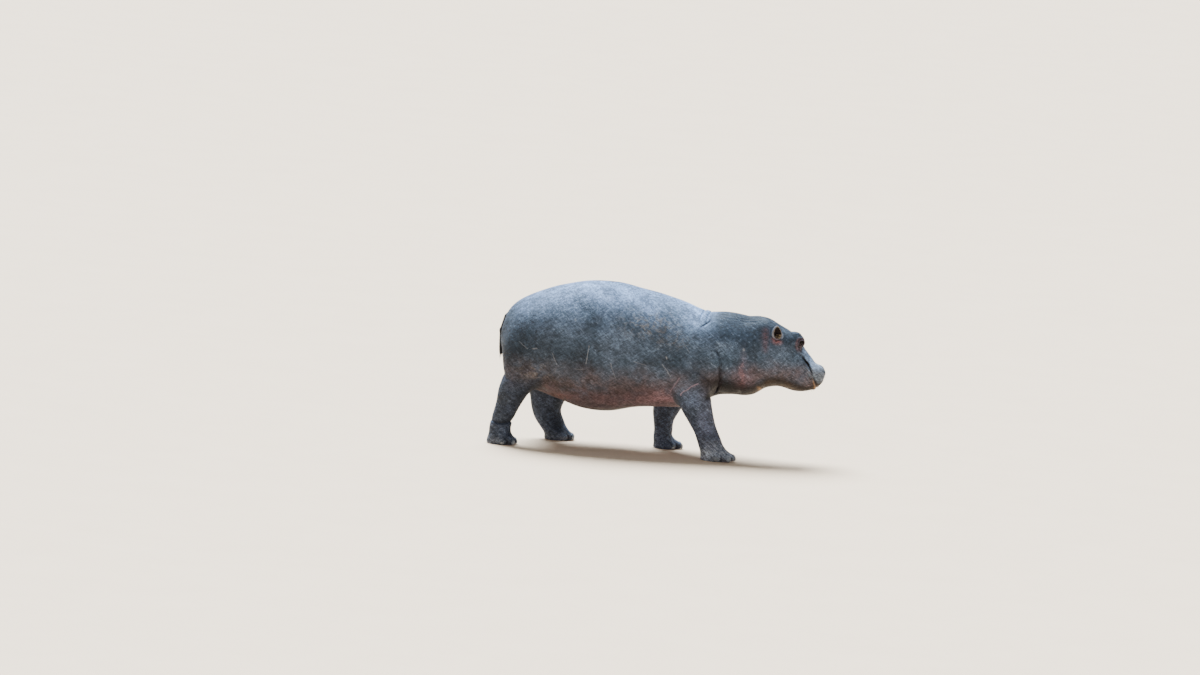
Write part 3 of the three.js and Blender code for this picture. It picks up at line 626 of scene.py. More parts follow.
def foot_form(x, y, z, foot):
    """a round pad with four toes, all in one scale"""
    at_x, at_y, heading, size = foot
    c, s = math.cos(math.radians(heading)), math.sin(math.radians(heading))
    dx, dy, dz = ((x - at_x) * c + (y - at_y) * s) / size, ((y - at_y) * c - (x - at_x) * s) / size, z / size
    form = egg(dx, dy, dz, (-6, 0, 12), (80, 66, 58))
    for degrees, far in zip(TOE_SPREAD, TOE_REACH):
        c, s = math.cos(math.radians(degrees)), math.sin(math.radians(degrees))
        form = blend(form, rod(dx, dy, dz, (28 * c, 28 * s, 40), (far * c, far * s, 21), 28, 21), 8)
    return form * size


def nail_axes(leg, toe):
    """a nail's middle, its directions and its scale"""
    x, y, heading, size = leg["foot"]
    way = math.radians(heading + TOE_SPREAD[toe])
    reach = (TOE_REACH[toe] + NAIL_OUT) * size
    out = np.array((math.cos(way), math.sin(way), 0.0))
    centre = np.array((x + reach * out[0], y + reach * out[1], NAIL_HEIGHT * size))
    return centre, (out, np.array((-out[1], out[0], 0.0)), np.array((0.0, 0.0, 1.0))), size


nails = {f"{name}_{toe + 1}": nail_axes(leg, toe) for name, leg in LEGS.items()
         for toe in range(len(TOE_SPREAD))}


def tail_form(x, y, z):
    form = rod(x, y, z, (-856, 0, 664), (-882, 0, 590), 20, 15)
    form = blend(form, rod(x, y, z, (-882, 0, 590), (-882, 0, 468), 15, 7), 8)
    form = blend(form, egg(x, y, z, (-884, 0, 520), (9, 17, 60)), 10)
    return form + 0.3 * np.sin(z / 2.6 + 0.6 * np.sin(z / 19)) * ease(470, 500, z) * ease(660, 620, z)


def on(mask, form, *where):
    """a form worked out only where the mask says that it is near"""
    whole = np.full(where[0].shape, FAR)
    if mask.any():
        whole[mask] = form(*(v[mask] for v in where))
    return whole


def skin_form(p):
    """below 0 inside the hide, above 0 outside, about a millimetre for a millimetre"""
    x, y, z = p[:, 0], p[:, 1], p[:, 2]

    def trunk(x, y, z):
        rump = 1 - ease(-760, -560, x)
        form = trunk_barrel(x - rump * 0.13 * (545 - z + np.hypot(545 - z, 60)), y, z)
        cleft = 22 * bell(y, 42) * ease(700, 600, z) * ease(-720, -820, x)
        return form + rump * cleft

    form = on(x < 430, trunk, x, y, z)
    form = blend(form, on(x > -150, neck_barrel, x, y, z), FILLET["neck"])
    near = x > 330
    s, hy, t = (np.zeros_like(x) for _ in range(3))
    if near.any():
        head, s[near], hy[near], t[near] = head_parts(x[near], y[near], z[near])
        form[near] = blend(form[near], head, FILLET["head"])
    for name, leg in LEGS.items():
        at = leg["foot"]
        middle = sum(leg["x"]) / len(leg["x"])
        near = (z < 770) & (y * leg["side"] > -120) & (np.abs(x - middle) < 420)
        shaft = on(near, leg_pillars[name], x, y, z)
        near = (z < 150) & (np.hypot(x - at[0], y - at[1]) < 170)
        foot = on(near, lambda a, b, c: foot_form(a, b, c, at), x, y, z)
        form = blend(form, blend(shaft, foot, FILLET["foot"]), FILLET["leg"])

    # ears and eyes
    out = np.abs(hy)
    near = (x > 470) & (np.abs(s - 20) < 110) & (out > 70) & (np.abs(t - 90) < 110)
    form = blend(form, on(near, lambda *q: ear_form(*q)[0], s, out, t), FILLET["ear"])
    near = (x > 600) & (eye_gap(s, out, t) < 60)
    if near.any():
        form[near] = eye_parts(form[near], s[near], out[near], t[near])

    # creases and finer folds
    out_y = np.abs(y)
    wander_x, wander_z = wander(x, y, z)
    for points, sides, depth, width, step, _ in CREASES:
        xs, zs = zip(*points)
        reach = 3 * width + (100 if step else 0)
        near = ((x > min(xs) - reach) & (x < max(xs) + reach) & (z > min(zs) - reach)
                & (z < max(zs) + reach) & on_side(y, sides))
        if near.any():
            gap, along, hand = line_gap(wander_x[near], wander_z[near], points)
            form[near] += groove(gap, along, hand, depth, width, step) * ease(40, 80, out_y[near])
    for at_x, at_z, reach_x, reach_z, slope, spacing, depth in WRINKLES:
        near = (np.abs(x - at_x) < 1.7 * reach_x) & (np.abs(z - at_z) < 1.7 * reach_z) & (out_y > 30)
        if near.any():
            p, q = wander_x[near] - at_x, wander_z[near] - at_z
            c, k = math.cos(math.radians(slope)), math.sin(math.radians(slope))
            phase = (q * c - p * k) / spacing * math.pi + 0.9 * np.sin((p * c + q * k) / 37 + at_x)
            fold = 1 - np.abs(np.sin(phase)) ** 0.7
            uneven = 0.55 + 0.45 * np.sin(p / 29 + 1.7 * np.sin(q / 21) + at_z)
            form[near] += (depth * fold * uneven * bell(p / reach_x, 0.75) * bell(q / reach_z, 0.75)
                           * ease(30, 70, out_y[near]))
    # the nape: two short furrows over the top, and long low folds behind the head
    bent = wander_x + 4 * np.sin(y / 26)
    nape = ease(700, 745, z) * (6.0 * bell(bent - 203 - 0.05 * out_y, 5.5)
                                + 5.0 * bell(bent - 243 + 0.02 * out_y, 5)
                                - 4.0 * bell(bent - 223, 9)) * ease(170, 90, out_y)
    form = form + nape
    long_folds = sum(depth * bell(out_y - at - 6 * np.sin(x / slow) - 2 * np.sin(x / quick), width)
                     for depth, at, slow, quick, width in ((2.2, 44, 57, 13, 4.5), (2.8, 66, 49, 15, 5),
                                                           (2.8, 92, 43, 11, 5)))
    form = form + long_folds * ease(690, 740, z) * ease(290, 350, x) * ease(560, 490, x)

    # rings of wrinkles above the feet, and folded skin round each nail
    low = (z < 260) & (form < 60)
    if low.any():
        xl, yl, zl, add = x[low], y[low], z[low], np.zeros(low.sum())
        lift = zl + 7 * np.sin(xl / 21 + yl / 33) + 3 * np.sin(xl / 9 - yl / 13) - 14
        for i, height in enumerate(RING_HEIGHTS):
            patchy = np.clip(0.5 + 0.6 * np.sin(yl / 23 + i * 2.1 + xl / 31), 0, 1)
            add += (0.7 - 0.05 * i) * bell(lift - height, 3.0) * patchy
        for centre, axes, size in nails.values():
            close = (np.abs(xl - centre[0]) < 45) & (np.abs(yl - centre[1]) < 45) & (zl < 70)
            if close.any():
                a, b, c = in_frame(xl[close], yl[close], zl[close], centre, axes)
                gap = egg(a, b, c, (0, 0, 0), [v * size for v in NAIL_SIZE])
                add[close] -= 2.4 * bell(gap - 4.5, 4) * ease(-14, 4, c)
        form[low] += add
        for centre, axes, size in nails.values():
            close = low & (np.abs(x - centre[0]) < 30) & (np.abs(y - centre[1]) < 30) & (z < 50)
            if close.any():
                a, b, c = in_frame(x[close], y[close], z[close], centre, axes)
                gap = egg(a, b, c, (-1, 0, 0), [v * size - 0.8 for v in NAIL_SIZE])
                form[close] = carve(form[close], gap, 1.5)

    form = form + 1.6 * waves(x, y, z) * ease(20, 90, z) * (1 - 0.6 * ease(560, 640, x))
    near = (x < -800) & (np.abs(y) < 70) & (z > 430) & (z < 720)
    form = blend(form, on(near, tail_form, x, y, z), FILLET["tail"])
    return carve(form, z, FILLET["floor"])


def stations(*runs):
    """grid lines: each run goes on to a place at a given spacing"""
    at = [runs[0]]
    for end, step in runs[1:]:
        count = max(1, round((end - at[-1]) / step))
        at.extend(np.linspace(at[-1], end, count + 1)[1:])
    return np.array(at)


GRID_BLOCK, BATCH = 6, 400000


def eight_corners(values):
    """the values at each of a cell's eight corners, one corner after another"""
    for corner in np.ndindex(2, 2, 2):
        yield values[tuple(slice(c, n - 1 + c) for c, n in zip(corner, values.shape))]


def grid_values(form, axes):
    """the form on every grid point near the surface, and a rough value elsewhere"""
    shape = [len(a) for a in axes]
    coarse = [np.unique(np.r_[0:n:GRID_BLOCK, n - 1]) for n in shape]
    rough_axes = [a[c] for a, c in zip(axes, coarse)]
    rough = form(np.stack(np.meshgrid(*rough_axes, indexing="ij"), -1).reshape(-1, 3))
    rough = rough.reshape([len(a) for a in rough_axes])
    pick = [np.abs(a[:, None] - r[None]).argmin(1) for a, r in zip(axes, rough_axes)]
    values = rough[np.ix_(*pick)].astype(np.float32)
    small = np.min([np.abs(part) for part in eight_corners(rough)], axis=0)
    diagonal = np.sqrt(sum(np.ix_(*[np.diff(a) ** 2 for a in rough_axes])))
    wanted = np.zeros(shape, bool)
    for cell in np.argwhere(small < 0.9 * diagonal + 14):
        wanted[tuple(slice(c[i], c[i + 1] + 1) for c, i in zip(coarse, cell))] = True
    index = np.argwhere(wanted)
    for start in range(0, len(index), BATCH):
        part = index[start:start + BATCH]
        values[tuple(part.T)] = form(np.stack([axes[d][part[:, d]] for d in range(3)], -1))
    return values


def surface_net(values, axes):
    """one corner in each cell that the surface crosses, joined in four-sided faces"""
    inside = values < 0
    shape = values.shape
    count = sum(corner.astype(np.uint8) for corner in eight_corners(inside))
    cells = np.argwhere((count > 0) & (count < 8))
    number = -np.ones(count.shape, np.int64)
    number[tuple(cells.T)] = np.arange(len(cells))
    total, crossings = np.zeros((len(cells), 3)), np.zeros(len(cells))
    for a in np.ndindex(2, 2, 2):
        for d in (d for d in range(3) if a[d] == 0):
            b = [*a[:d], 1, *a[d + 1:]]
            va, vb = values[tuple((cells + a).T)], values[tuple((cells + b).T)]
            crossed = (va < 0) != (vb < 0)
            point = np.tile(np.array(a, float), (len(cells), 1))
            point[:, d] = np.where(crossed, va / np.where(crossed, va - vb, 1), 0)
            total[crossed] += point[crossed]
            crossings[crossed] += 1
    where = cells + total / crossings[:, None]
    points = np.stack([np.interp(where[:, d], np.arange(shape[d]), axes[d]) for d in range(3)], -1)
    faces = []
    for d, (u, w) in enumerate(((1, 2), (2, 0), (0, 1))):
        first, second = [slice(None)] * 3, [slice(None)] * 3
        first[d], second[d] = slice(0, -1), slice(1, None)
        edge = np.argwhere(inside[tuple(first)] != inside[tuple(second)])
        around = []
        for du, dw in ((1, 1), (0, 1), (0, 0), (1, 0)):
            corner = edge.copy()
            corner[:, u] -= du
            corner[:, w] -= dw
            around.append(number[tuple(corner.T)])
        quad = np.stack(around, -1)
        outward = inside[tuple(edge.T)]
        quad[~outward] = quad[~outward][:, ::-1]
        faces.append(quad)
    return points, np.concatenate(faces)


PROBE = 0.35                            # how far round a place its slope is felt
TETRA = np.array(((1, 1, 1), (1, -1, -1), (-1, 1, -1), (-1, -1, 1))) * PROBE


def settle(form, points, steps, most):
    """moves corners down the slope until they lie on the surface"""
    start = points
    for _ in range(steps):
        v = np.stack([form(points + e) for e in TETRA], -1)
        slope = v @ TETRA / (4 * PROBE ** 2)
        step = (v.mean(1) / ((slope ** 2).sum(1) + 1e-3))[:, None] * slope
        points = points - step
        moved = points - start
        size = np.linalg.norm(moved, axis=1)[:, None]
        points = start + moved * np.minimum(1, most / np.maximum(size, 1e-9))
    return points


def mesh_of(name, points, faces):
    mesh = bpy.data.meshes.new(name)
    mesh.vertices.add(len(points))
    mesh.vertices.foreach_set("co", np.asarray(points, np.float32).ravel())
    corners = faces.shape[1]
    mesh.loops.add(faces.size)
    mesh.loops.foreach_set("vertex_index", faces.astype(np.int32).ravel())
    mesh.polygons.add(len(faces))
    mesh.polygons.foreach_set("loop_start", np.arange(0, faces.size, corners, dtype=np.int32))
    mesh.update(calc_edges=True)
    mesh.validate()
    return mesh


def add_piece(name, mesh):
    piece = bpy.data.objects.new(name, mesh)
    bpy.context.scene.collection.objects.link(piece)
    return piece


SKIN_FACES = 186000
FINE = 1.0
axes = [stations(first, *((end, step * FINE) for end, step in runs)) for first, *runs in (
    (-925, (-640, 4.2), (400, 5.0), (560, 4.0), (715, 3.2), (785, 1.9), (925, 3.0)),
    (-350, (-170, 4.6), (-60, 2.4), (60, 4.0), (130, 2.4), (350, 4.6)),
    (-14, (70, 3.2), (440, 4.4), (625, 3.6), (705, 2.0), (820, 3.4), (930, 4.6)))]
points, faces = surface_net(grid_values(skin_form, axes), axes)
points = settle(skin_form, points, 2, 3.0)
rough_skin = add_piece("rough_skin", mesh_of("rough_skin", points, faces))
thin = rough_skin.modifiers.new("thin", "DECIMATE")
thin.ratio = min(1.0, SKIN_FACES / (2 * len(faces)))
thin.use_collapse_triangulate = True
bpy.context.view_layer.update()
skin_mesh = bpy.data.meshes.new_from_object(rough_skin.evaluated_get(bpy.context.evaluated_depsgraph_get()))
bpy.data.objects.remove(rough_skin)
count = len(skin_mesh.vertices)
body = np.empty(count * 3, np.float32)
skin_mesh.vertices.foreach_get("co", body)
body = settle(skin_form, body.reshape(-1, 3).astype(float), 2, 1.5)


def to_frame(p):
    """from the body's millimetres to the row's metres"""
    return np.asarray(p, float) / 1000 + (MIDDLE_X, 0, 0)


skin_mesh.vertices.foreach_set("co", to_frame(body).astype(np.float32).ravel())
skin_mesh.update()
skin_mesh.name = "skin"
skin_mesh.shade_smooth()


def patch(u, v, at, reach):
    """1 at a place in a plane, fading to 0 around it"""
    return np.exp(-((u - at[0]) / reach[0]) ** 2 - ((v - at[1]) / reach[1]) ** 2)


# how dark the hide is along the body: darker at the rump and the cheek
TONE_AT = (-900, -720, -520, -250, 60, 220, 330, 430, 560, 680, 780)
TONE = (0.52, 0.56, 0.77, 0.92, 1.05, 1.08, 1.20, 0.98, 0.80, 0.86, 1.0)


def skin_marks(p, facing):
    """how much of each colour the hide has at a place, with painted shade and highlight among them, from 0 to
    1
    """
    x, y, z = p[:, 0], p[:, 1], p[:, 2]
    hx, hy, hz = to_head(x, y, z)
    s, t = to_nose(hx, hz)
    out, right_side, faces_up = np.abs(hy), y < 0, facing[:, 2]
    head = ease(430, 520, x)
    wave = waves(x * 1.3, y * 1.3, z * 1.3)
    marks = {}

    # legs are darker than the body
    leg = ease(150, 110, z)
    for name, spec in LEGS.items():
        gap = on((z < 520) & (y * spec["side"] > 0), leg_pillars[name], x, y, z)
        height = 330 if "hind" in name else 360
        leg = np.maximum(leg, ease(34, 4, gap) * ease(height + 90, height - 50, z + 20 * wave))
    marks["leg"] = leg

    # pink-brown belly, chest, throat and armpits
    belly = (ease(370, 245, z + 26 * wave) * ease(470, 380, x)
             * np.interp(x, (-600, -380, -180, 60), (0.7, 0.3, 0.55, 0.95)))
    jowl = 0.6 * patch(s, t, (92, -226), (56, 52)) * ease(350, 420, x)
    armpit = patch(x, z, (40, 300), (120, 62))
    marks["rose"] = np.clip(belly * (1 - 0.85 * leg) + 0.9 * jowl + 0.6 * armpit * (1 - leg), 0, 1)

    # brown lower flank, cheek and chest, where dust and mud stay
    flank = ease(540, 330, z + 30 * wave) * (1 - leg) * (1 - head)
    cheek = 0.9 * head * ease(575, 470, z + 20 * wave) * (1 - ease(285, 310, s) * ease(45, 62, t))
    chest = 0.85 * ease(205, 270, x) * (1 - head) * ease(540, 430, z)
    marks["brown"] = np.maximum(np.maximum(flank, cheek), chest)

    # red: lids, root of the ear, behind the ear, on the cheek, in the groin
    under_eye = ease(1.15, 0.7, np.hypot((hx - 207) / 26, (hz + 4) / 40))
    lid = np.maximum(ease(31, 23, eye_gap(s, out, t)), under_eye) * ease(78, 88, out)
    behind = line_gap(s, t, ((-25, 58), (9, 25), (47, -13)))[0]
    groin = patch(x, z, (-540, 280), (62, 22)) * ease(250, 200, np.abs(y))
    root = in_frame(s, out, t, EAR_AT, EAR_AXES)
    root_gap = np.sqrt(root[0] ** 2 + (root[1] + 8) ** 2 + root[2] ** 2)
    ear_root = ease(50, 34, root_gap) * ease(16, -6, root[1] + 0.35 * root[0])
    sore = bell(np.hypot((x - 455 - 5 * np.sin(z / 17)) / 15, (z - 468) / 92), 1) * ease(330, 380, x)
    ear_and_lid = 0.27 * lid + (0.22 + 0.08 * wave) * bell(behind, 16) * (out > 90) + 0.7 * ear_root
    marks["red"] = np.clip(ear_and_lid * head + groin + (0.34 + 0.12 * wave) * sore, 0, 1)

    # the ear's hollow: painted shade in its upper part, cream hair in its lower part, and the rim
    near = (x > 470) & (root_gap < 120) & (out > 70)
    hollow = on(near, lambda *q: ear_form(*q)[1], s, out, t)
    inner = ease(3.5, 0.5, hollow)
    slant = root[1] - 0.9 * root[0] + 5 * np.sin(root[0] / 3.1) + 4 * np.sin(root[1] / 2.3)
    marks["ear_hollow_shade"] = inner * ease(-2, 12, slant)
    marks["ear_cream"] = inner * ease(12, 0, slant)
    marks["ear_rim"] = (ease(0.3, 2.0, hollow) * ease(13, 8, hollow) * ease(2, 16, root[1])
                        * ease(-12, -2, root[2]) * (root_gap < 100))

    # lips and chin stained by food
    gap, along, hand = line_gap(s, t, MOUTH)
    lip = (1.5 * bell(gap - 5, 3.6) * ease(-0.2, 0.6, hand) * ease(0.42, 0.7, along)
           * (0.6 + 0.4 * np.sin(s / 6 + 2 * np.sin(t / 9))))
    corner = 0.8 * patch(s, t, (382, 36), (9, 8))
    chin = ease(-0.35, -0.8, faces_up) * ease(120, 200, s) * (0.5 + 0.5 * wave)
    drip = 0.9 * patch(s, t, (180, -182), (16, 8))
    stain = (0.7 * lip + corner + 0.16 * chin + drip) * head * (0.25 + 0.75 * ease(30, 58, out))
    marks["stain"] = np.clip(stain, 0, 1)
    nose_side = ease(0.1, -0.5, hand) * ease(3, 10, gap)

    # painted shade: the floor of each crease and of the mouth line is darkened, and round the eye's opening
    # and between the toes; the tail is darker too
    dark = head * bell(gap, 5.0) * np.interp(along, (0, 0.2, 0.3, 0.5, 0.58, 1), (0, 0.1, 1, 1, 0.45, 0.4))
    wander_x, wander_z = wander(x, y, z)
    for points, sides, _, width, step, shade in CREASES:
        gap, along, hand = line_gap(wander_x, wander_z, points)
        below = 1 + ease(0.2, -0.6, hand) * (step > 0)
        dark = np.maximum(dark, shade * fading(along) * bell(gap, width * below) * on_side(y, sides))
    u, v, w = in_frame(s, out, t, EYE_AT, EYE_AXES)
    opening = 10 * np.hypot(u / EYE_OPENING[0], (v + EYE_DROP) / EYE_OPENING[1]) - 10
    dark = np.maximum(dark, 0.75 * head * bell(opening, 2.6) * (w > 0) * (out > 60))
    for spec in LEGS.values():
        at_x, at_y, heading, size = spec["foot"]
        way = np.degrees(np.arctan2(y - at_y, x - at_x)) - heading
        way = (way + 180) % 360 - 180
        reach, height = np.hypot(x - at_x, y - at_y) / size, z / size
        front = ease(60, 72, reach) * ease(48, 26, height) * (reach < 130)
        for a, b in zip(TOE_SPREAD, TOE_SPREAD[1:]):
            dark = np.maximum(dark, bell(way - (a + b) / 2, 4.5 + 6 * ease(34, 6, height)) * front)
    tail = ease(-858, -870, x) * ease(32, 20, np.abs(y)) * (z > 440)
    marks["crease"] = np.clip(np.maximum(dark, 0.85 * tail), 0, 1)

    # old scuffs: tan dust along the back and shoulder
    tan = (patch(x, z, (-60, 715), (130, 60)) + 0.7 * patch(x, z, (-640, 420), (120, 60))
           + 0.5 * patch(x, z, (90, 640), (90, 50)))
    marks["tan"] = np.clip(tan, 0, 1)

    # painted highlight: a pale blue, clouded sheen on the up-facing back; and painted shade darkening the
    # neck and head, most on their upper surfaces
    cloud = waves(x * 0.45 + 90, y * 0.6, z * 0.5)
    marks["top"] = (ease(0.45, 0.95, faces_up + 0.15 * wave) * ease(330, 180, x) * ease(620, 700, z)
                    * np.clip(0.9 + 0.8 * cloud, 0, 1))
    crown = ease(0.1, 0.5, faces_up) * (1 - 0.15 * ease(0.94, 1.0, faces_up))
    marks["front"] = (ease(200, 330, x) * (1 - leg) * (0.16 + 0.8 * crown)
                      * (1 - 0.8 * head * ease(160, 195, s)))

    # how dark the hide is as a whole, much of it painted shade: darker low down on the undersides, along the
    # middle of the side, on the top of the neck and in a painted shadow over the chest; paler over the
    # foreleg
    # painted shade on surfaces that face down
    low = ease(-0.1, -0.7, faces_up) * ease(60, 120, z)
    tone_and_shade = np.interp(x, TONE_AT, TONE) * (1 - low * np.interp(x, (230, 300), (0.5, 0.93)))
    # painted shade along the middle of the side; paler low down at the rear
    tone_and_shade = tone_and_shade * (1 - 0.40 * bell(z - 505, 105) * ease(300, 200, x)
                   + 0.3 * ease(-600, -700, x) * ease(170, 120, z))
    tone_and_shade = tone_and_shade * (1 + (0.35 * patch(x, z, (200, 345), (80, 60))
                        + 0.10 * ease(60, 130, x) * ease(440, 380, z)) * right_side)
    # darker lids, and more painted shade where the hide faces straight down
    tone_and_shade = tone_and_shade * (1 - 0.22 * lid) * (1 - 0.45 * ease(-0.75, -0.95, faces_up) * (z > 150))
    tone_and_shade = tone_and_shade * (1 + 0.6 * patch(x, z, (425, 655), (70, 60)))
    # painted shade on the up-facing top of the neck, and a little more along its top
    tone_and_shade = tone_and_shade * (1 - 0.3 * ease(240, 330, x) * ease(0.7, 0.95, faces_up) * ease(560, 500, x))
    tone_and_shade = tone_and_shade * (1 - 0.12 * ease(270, 340, x) * ease(660, 730, z) * ease(600, 540, x))
    # a painted shadow over the chest
    marks["tone_and_shade"] = tone_and_shade * (1 - 0.7 * patch(x, z, (280, 410), (56, 70)))

    # paler: the ridge of the nose and the rear edge of the buttock, as painted highlight, and the front of
    # the shoulder and the temple
    nose = ease(165, 195, s) * np.maximum(ease(90, 106, t), nose_side) * ease(335, 300, s)
    marks["pale"] = (0.85 * head * nose + patch(x, z, (285, 650), (34, 70)) * (0.5 + 0.5 * wave)
                     + 0.55 * patch(x, z, (-845, 335), (50, 62)) * right_side
                     + 0.9 * patch(s, t, (95, 62), (26, 18)) * (out > 60))

    # pale dust on the feet, and a little on the muzzle and nose; on the right fore foot's toes it is also a
    # painted highlight
    fore = ease(-120, 120, x) * ease(135, 45, z + 25 * wave) * (0.4 + 0.6 * ease(0, -60, y))
    # on the right fore toes this paint is as much painted highlight as dust
    soles = 0.6 * (x > 200) * ease(70, 40, z) + 0.5 * ease(60, 10, z) * (x < -200)
    snout = 0.44 * head * ease(235, 300, s) * ease(30, 90, t)
    marks["dust_and_highlight"] = np.clip(0.5 * fore + soles + snout, 0, 1)
    return marks


def store(mesh, name, values):
    mesh.attributes.new(name, "FLOAT", "POINT").data.foreach_set("value", np.asarray(values, np.float32))


facing = np.empty(count * 3, np.float32)
skin_mesh.vertex_normals.foreach_get("vector", facing)
for name, values in skin_marks(body, facing.reshape(-1, 3)).items():
    store(skin_mesh, name, values)

# slow blotches, then ever finer mottling, streaks, grain and flecks, and two
# sets of slanting rubs that cross
hide = Finish("hippo hide")
blotch = hide.noise(3.2, 4.0, 0.6, warp=0.6)
mottle = hide.noise(13.0, 5.0, 0.62, warp=0.3)
grain = hide.noise(84.0, 5.0, 0.7)
fleck = hide.noise(190.0, 3.0, 0.6)
streak = hide.noise(24.0, 5.0, 0.65, place=hide.stretched(1.0, 1.0, 1.35), warp=1.0)
rub = hide.noise(42.0, 5.0, 0.66, place=hide.stretched(0.55, 1.0, 3.2, 40), warp=0.5)
scrape = hide.noise(50.0, 5.0, 0.66, place=hide.stretched(0.5, 1.0, 3.4, -30), warp=0.4)


def laid(colour, mark, over, strength=1.0):
    """a colour with another laid over it as far as a mark says"""
    return hide.mix(hide.times(hide.mark(mark), strength), colour, over)


colour = hide.mix(hide.ramp(blotch, 0.38, 0.64), paint(56, 70, 86), paint(90, 106, 128))
colour = hide.mix(hide.ramp(mottle, 0.42, 0.64, 0.0, 0.5), colour, paint(52, 58, 68))
# painted highlight: a pale blue sheen on the up-facing back
colour = laid(colour, "top", paint(126, 148, 184), hide.ramp(mottle, 0.36, 0.62, 1.0, 0.5))
colour = laid(colour, "brown", paint(90, 78, 81), hide.ramp(mottle, 0.30, 0.62, 0.45, 1.0))
colour = laid(colour, "rose", paint(174, 136, 146), hide.ramp(mottle, 0.30, 0.66, 0.55, 1.0))
# paler patches; on the nose ridge and the buttock a painted highlight
colour = laid(colour, "pale", paint(108, 122, 144), 0.7)
# painted shade over the neck and head, deepest on their upper surfaces
colour = laid(colour, "front", paint(34, 44, 56))
leg_colour = hide.mix(hide.ramp(mottle, 0.4, 0.62), paint(52, 60, 74), paint(67, 77, 96))
colour = laid(colour, "leg", leg_colour, 0.88)
colour = laid(colour, "tan", paint(118, 104, 86), hide.ramp(streak, 0.46, 0.62, 0.0, 0.5))
# pale dust, and a painted highlight on the right fore toes
colour = laid(colour, "dust_and_highlight", paint(142, 146, 154), hide.ramp(rub, 0.36, 0.62, 0.5, 1.0))
colour = laid(colour, "red", hide.mix(hide.ramp(grain, 0.35, 0.65), paint(92, 62, 64), paint(152, 96, 92)))
# fine grain and worn streaks, darker in the hollows and paler on the ridges
colour = hide.mix(hide.ramp(hide.times(grain, rub), 0.30, 0.42, 0.0, 0.30), colour, paint(118, 128, 142))
# grain, streaks and flecks, times the tone and painted shade from the skin's marks
tone_and_shade = hide.times(hide.ramp(grain, 0.30, 0.70, 0.76, 1.26), hide.ramp(streak, 0.34, 0.66, 0.84, 1.2),
                  hide.ramp(fleck, 0.34, 0.64, 0.80, 1.20),
                  hide.ramp(hide.times(rub, scrape), 0.17, 0.33, 0.66, 1.46), hide.mark("tone_and_shade"))
colour = hide.mix(1.0, colour, hide.grey(tone_and_shade), "MULTIPLY")

# scratches, an oval scar and small pale spots, then the pink ridges where the
# skin stretches over the foreleg: a line in length and height on the right
# side, half its width in millimetres, its strength
SCRATCHES = (
    (((-361, 581), (-368, 489)), 3.6, 0.6), (((-562, 531), (-530, 469)), 3.0, 0.5),
    (((-746, 565), (-698, 538)), 3.2, 0.45), (((34, 512), (82, 446)), 3.4, 0.6),
    (((-668, 538), (-646, 540)), 7.0, 0.45), (((453, 616), (456, 610)), 8.0, 0.75),
    (((56, 546), (58, 542)), 7.5, 0.8), (((-452, 712), (-448, 708)), 8.0, 0.5),
    (((-240, 500), (-204, 410)), 3.0, 0.45), (((-120, 520), (-50, 500)), 3.0, 0.35),
    (((130, 640), (172, 580)), 3.0, 0.35), (((-430, 455), (-380, 452)), 3.0, 0.35),
)
RIDGES = (
    (((138, 349), (165, 374), (192, 395), (230, 414)), 5.5, 0.6),
    (((80, 352), (92, 380), (109, 405), (130, 436)), 5.0, 0.35),
)
WAVER, WAVER_SCALE = 0.024, 22.0        # how far a line strays, and how often
waver = hide.add("ShaderNodeTexNoise")
hide.join(hide.place, waver.inputs["Vector"])
waver.inputs["Scale"].default_value = WAVER_SCALE
shaken = hide.vector("SCALE", hide.vector("SUBTRACT", waver.outputs["Color"], (0.5, 0.5, 0.5)), WAVER)
side_on = hide.vector("MULTIPLY", hide.vector("ADD", hide.place, shaken), (1, 0, 1))
across = hide.add("ShaderNodeSeparateXYZ")
hide.join(hide.place, across.inputs[0])
right_half = hide.ramp(across.outputs["Y"], -0.03, -0.06)


def strokes(lines):
    """how far a place is on one of the lines, from 0 to 1"""
    drawn = 0.0
    for points, half_width, strength in lines:
        for a, b in zip(points, points[1:]):
            start, end = (to_frame((q[0], 0, q[1])) for q in (a, b))
            way = end - start
            at = hide.vector("SUBTRACT", side_on, start)
            part = hide.vector("DOT_PRODUCT", at, way / (way @ way))
            part = hide.sum("MINIMUM", hide.sum("MAXIMUM", part, 0.0), 1.0)
            gap = hide.vector("DISTANCE", at, hide.vector("SCALE", way, part))
            drawn = hide.sum("MAXIMUM", hide.ramp(gap, half_width / 1000, 0, 0, strength), drawn)
    return hide.times(drawn, hide.times(right_half, hide.ramp(grain, 0.3, 0.5, 0.45, 1.0)))


colour = hide.mix(strokes(SCRATCHES), colour, paint(138, 140, 148))
colour = hide.mix(strokes(RIDGES), colour, paint(160, 132, 146))
# painted shade in the upper part of the ear's hollow
colour = laid(colour, "ear_hollow_shade", paint(22, 15, 15))
colour = laid(colour, "ear_cream", paint(118, 104, 88))
colour = laid(colour, "ear_rim", paint(120, 118, 124), 0.8)
colour = laid(colour, "stain", paint(146, 108, 66), hide.ramp(grain, 0.32, 0.58, 0.35, 1.0))
# painted shade in the creases, the mouth line, round the eyes and between the toes, and the darker tail
colour = laid(colour, "crease", paint(24, 20, 24), 0.8)
hide.set(Base_Color=colour, Roughness=hide.ramp(mottle, 0.3, 0.7, 0.60, 0.74), Specular_IOR_Level=0.16)
pebbles = hide.cells(240.0)
cracks = hide.ramp(hide.cells(95.0, "DISTANCE_TO_EDGE"), 0.0, 0.16)
lined = hide.noise(38.0, 4.0, 0.6, place=hide.stretched(1.0, 1.0, 3.2), warp=0.8)
surface = hide.bump(blotch, 0.010, strength=0.5)
on_legs = hide.sum("MULTIPLY_ADD", hide.mark("leg"), 0.7, 0.3)
surface = hide.bump(hide.times(lined, on_legs), 0.008, surface)
surface = hide.bump(streak, 0.006, surface, 0.8)
surface = hide.bump(cracks, 0.0012, surface, 0.8)
surface = hide.bump(grain, 0.0036, surface, 0.9)
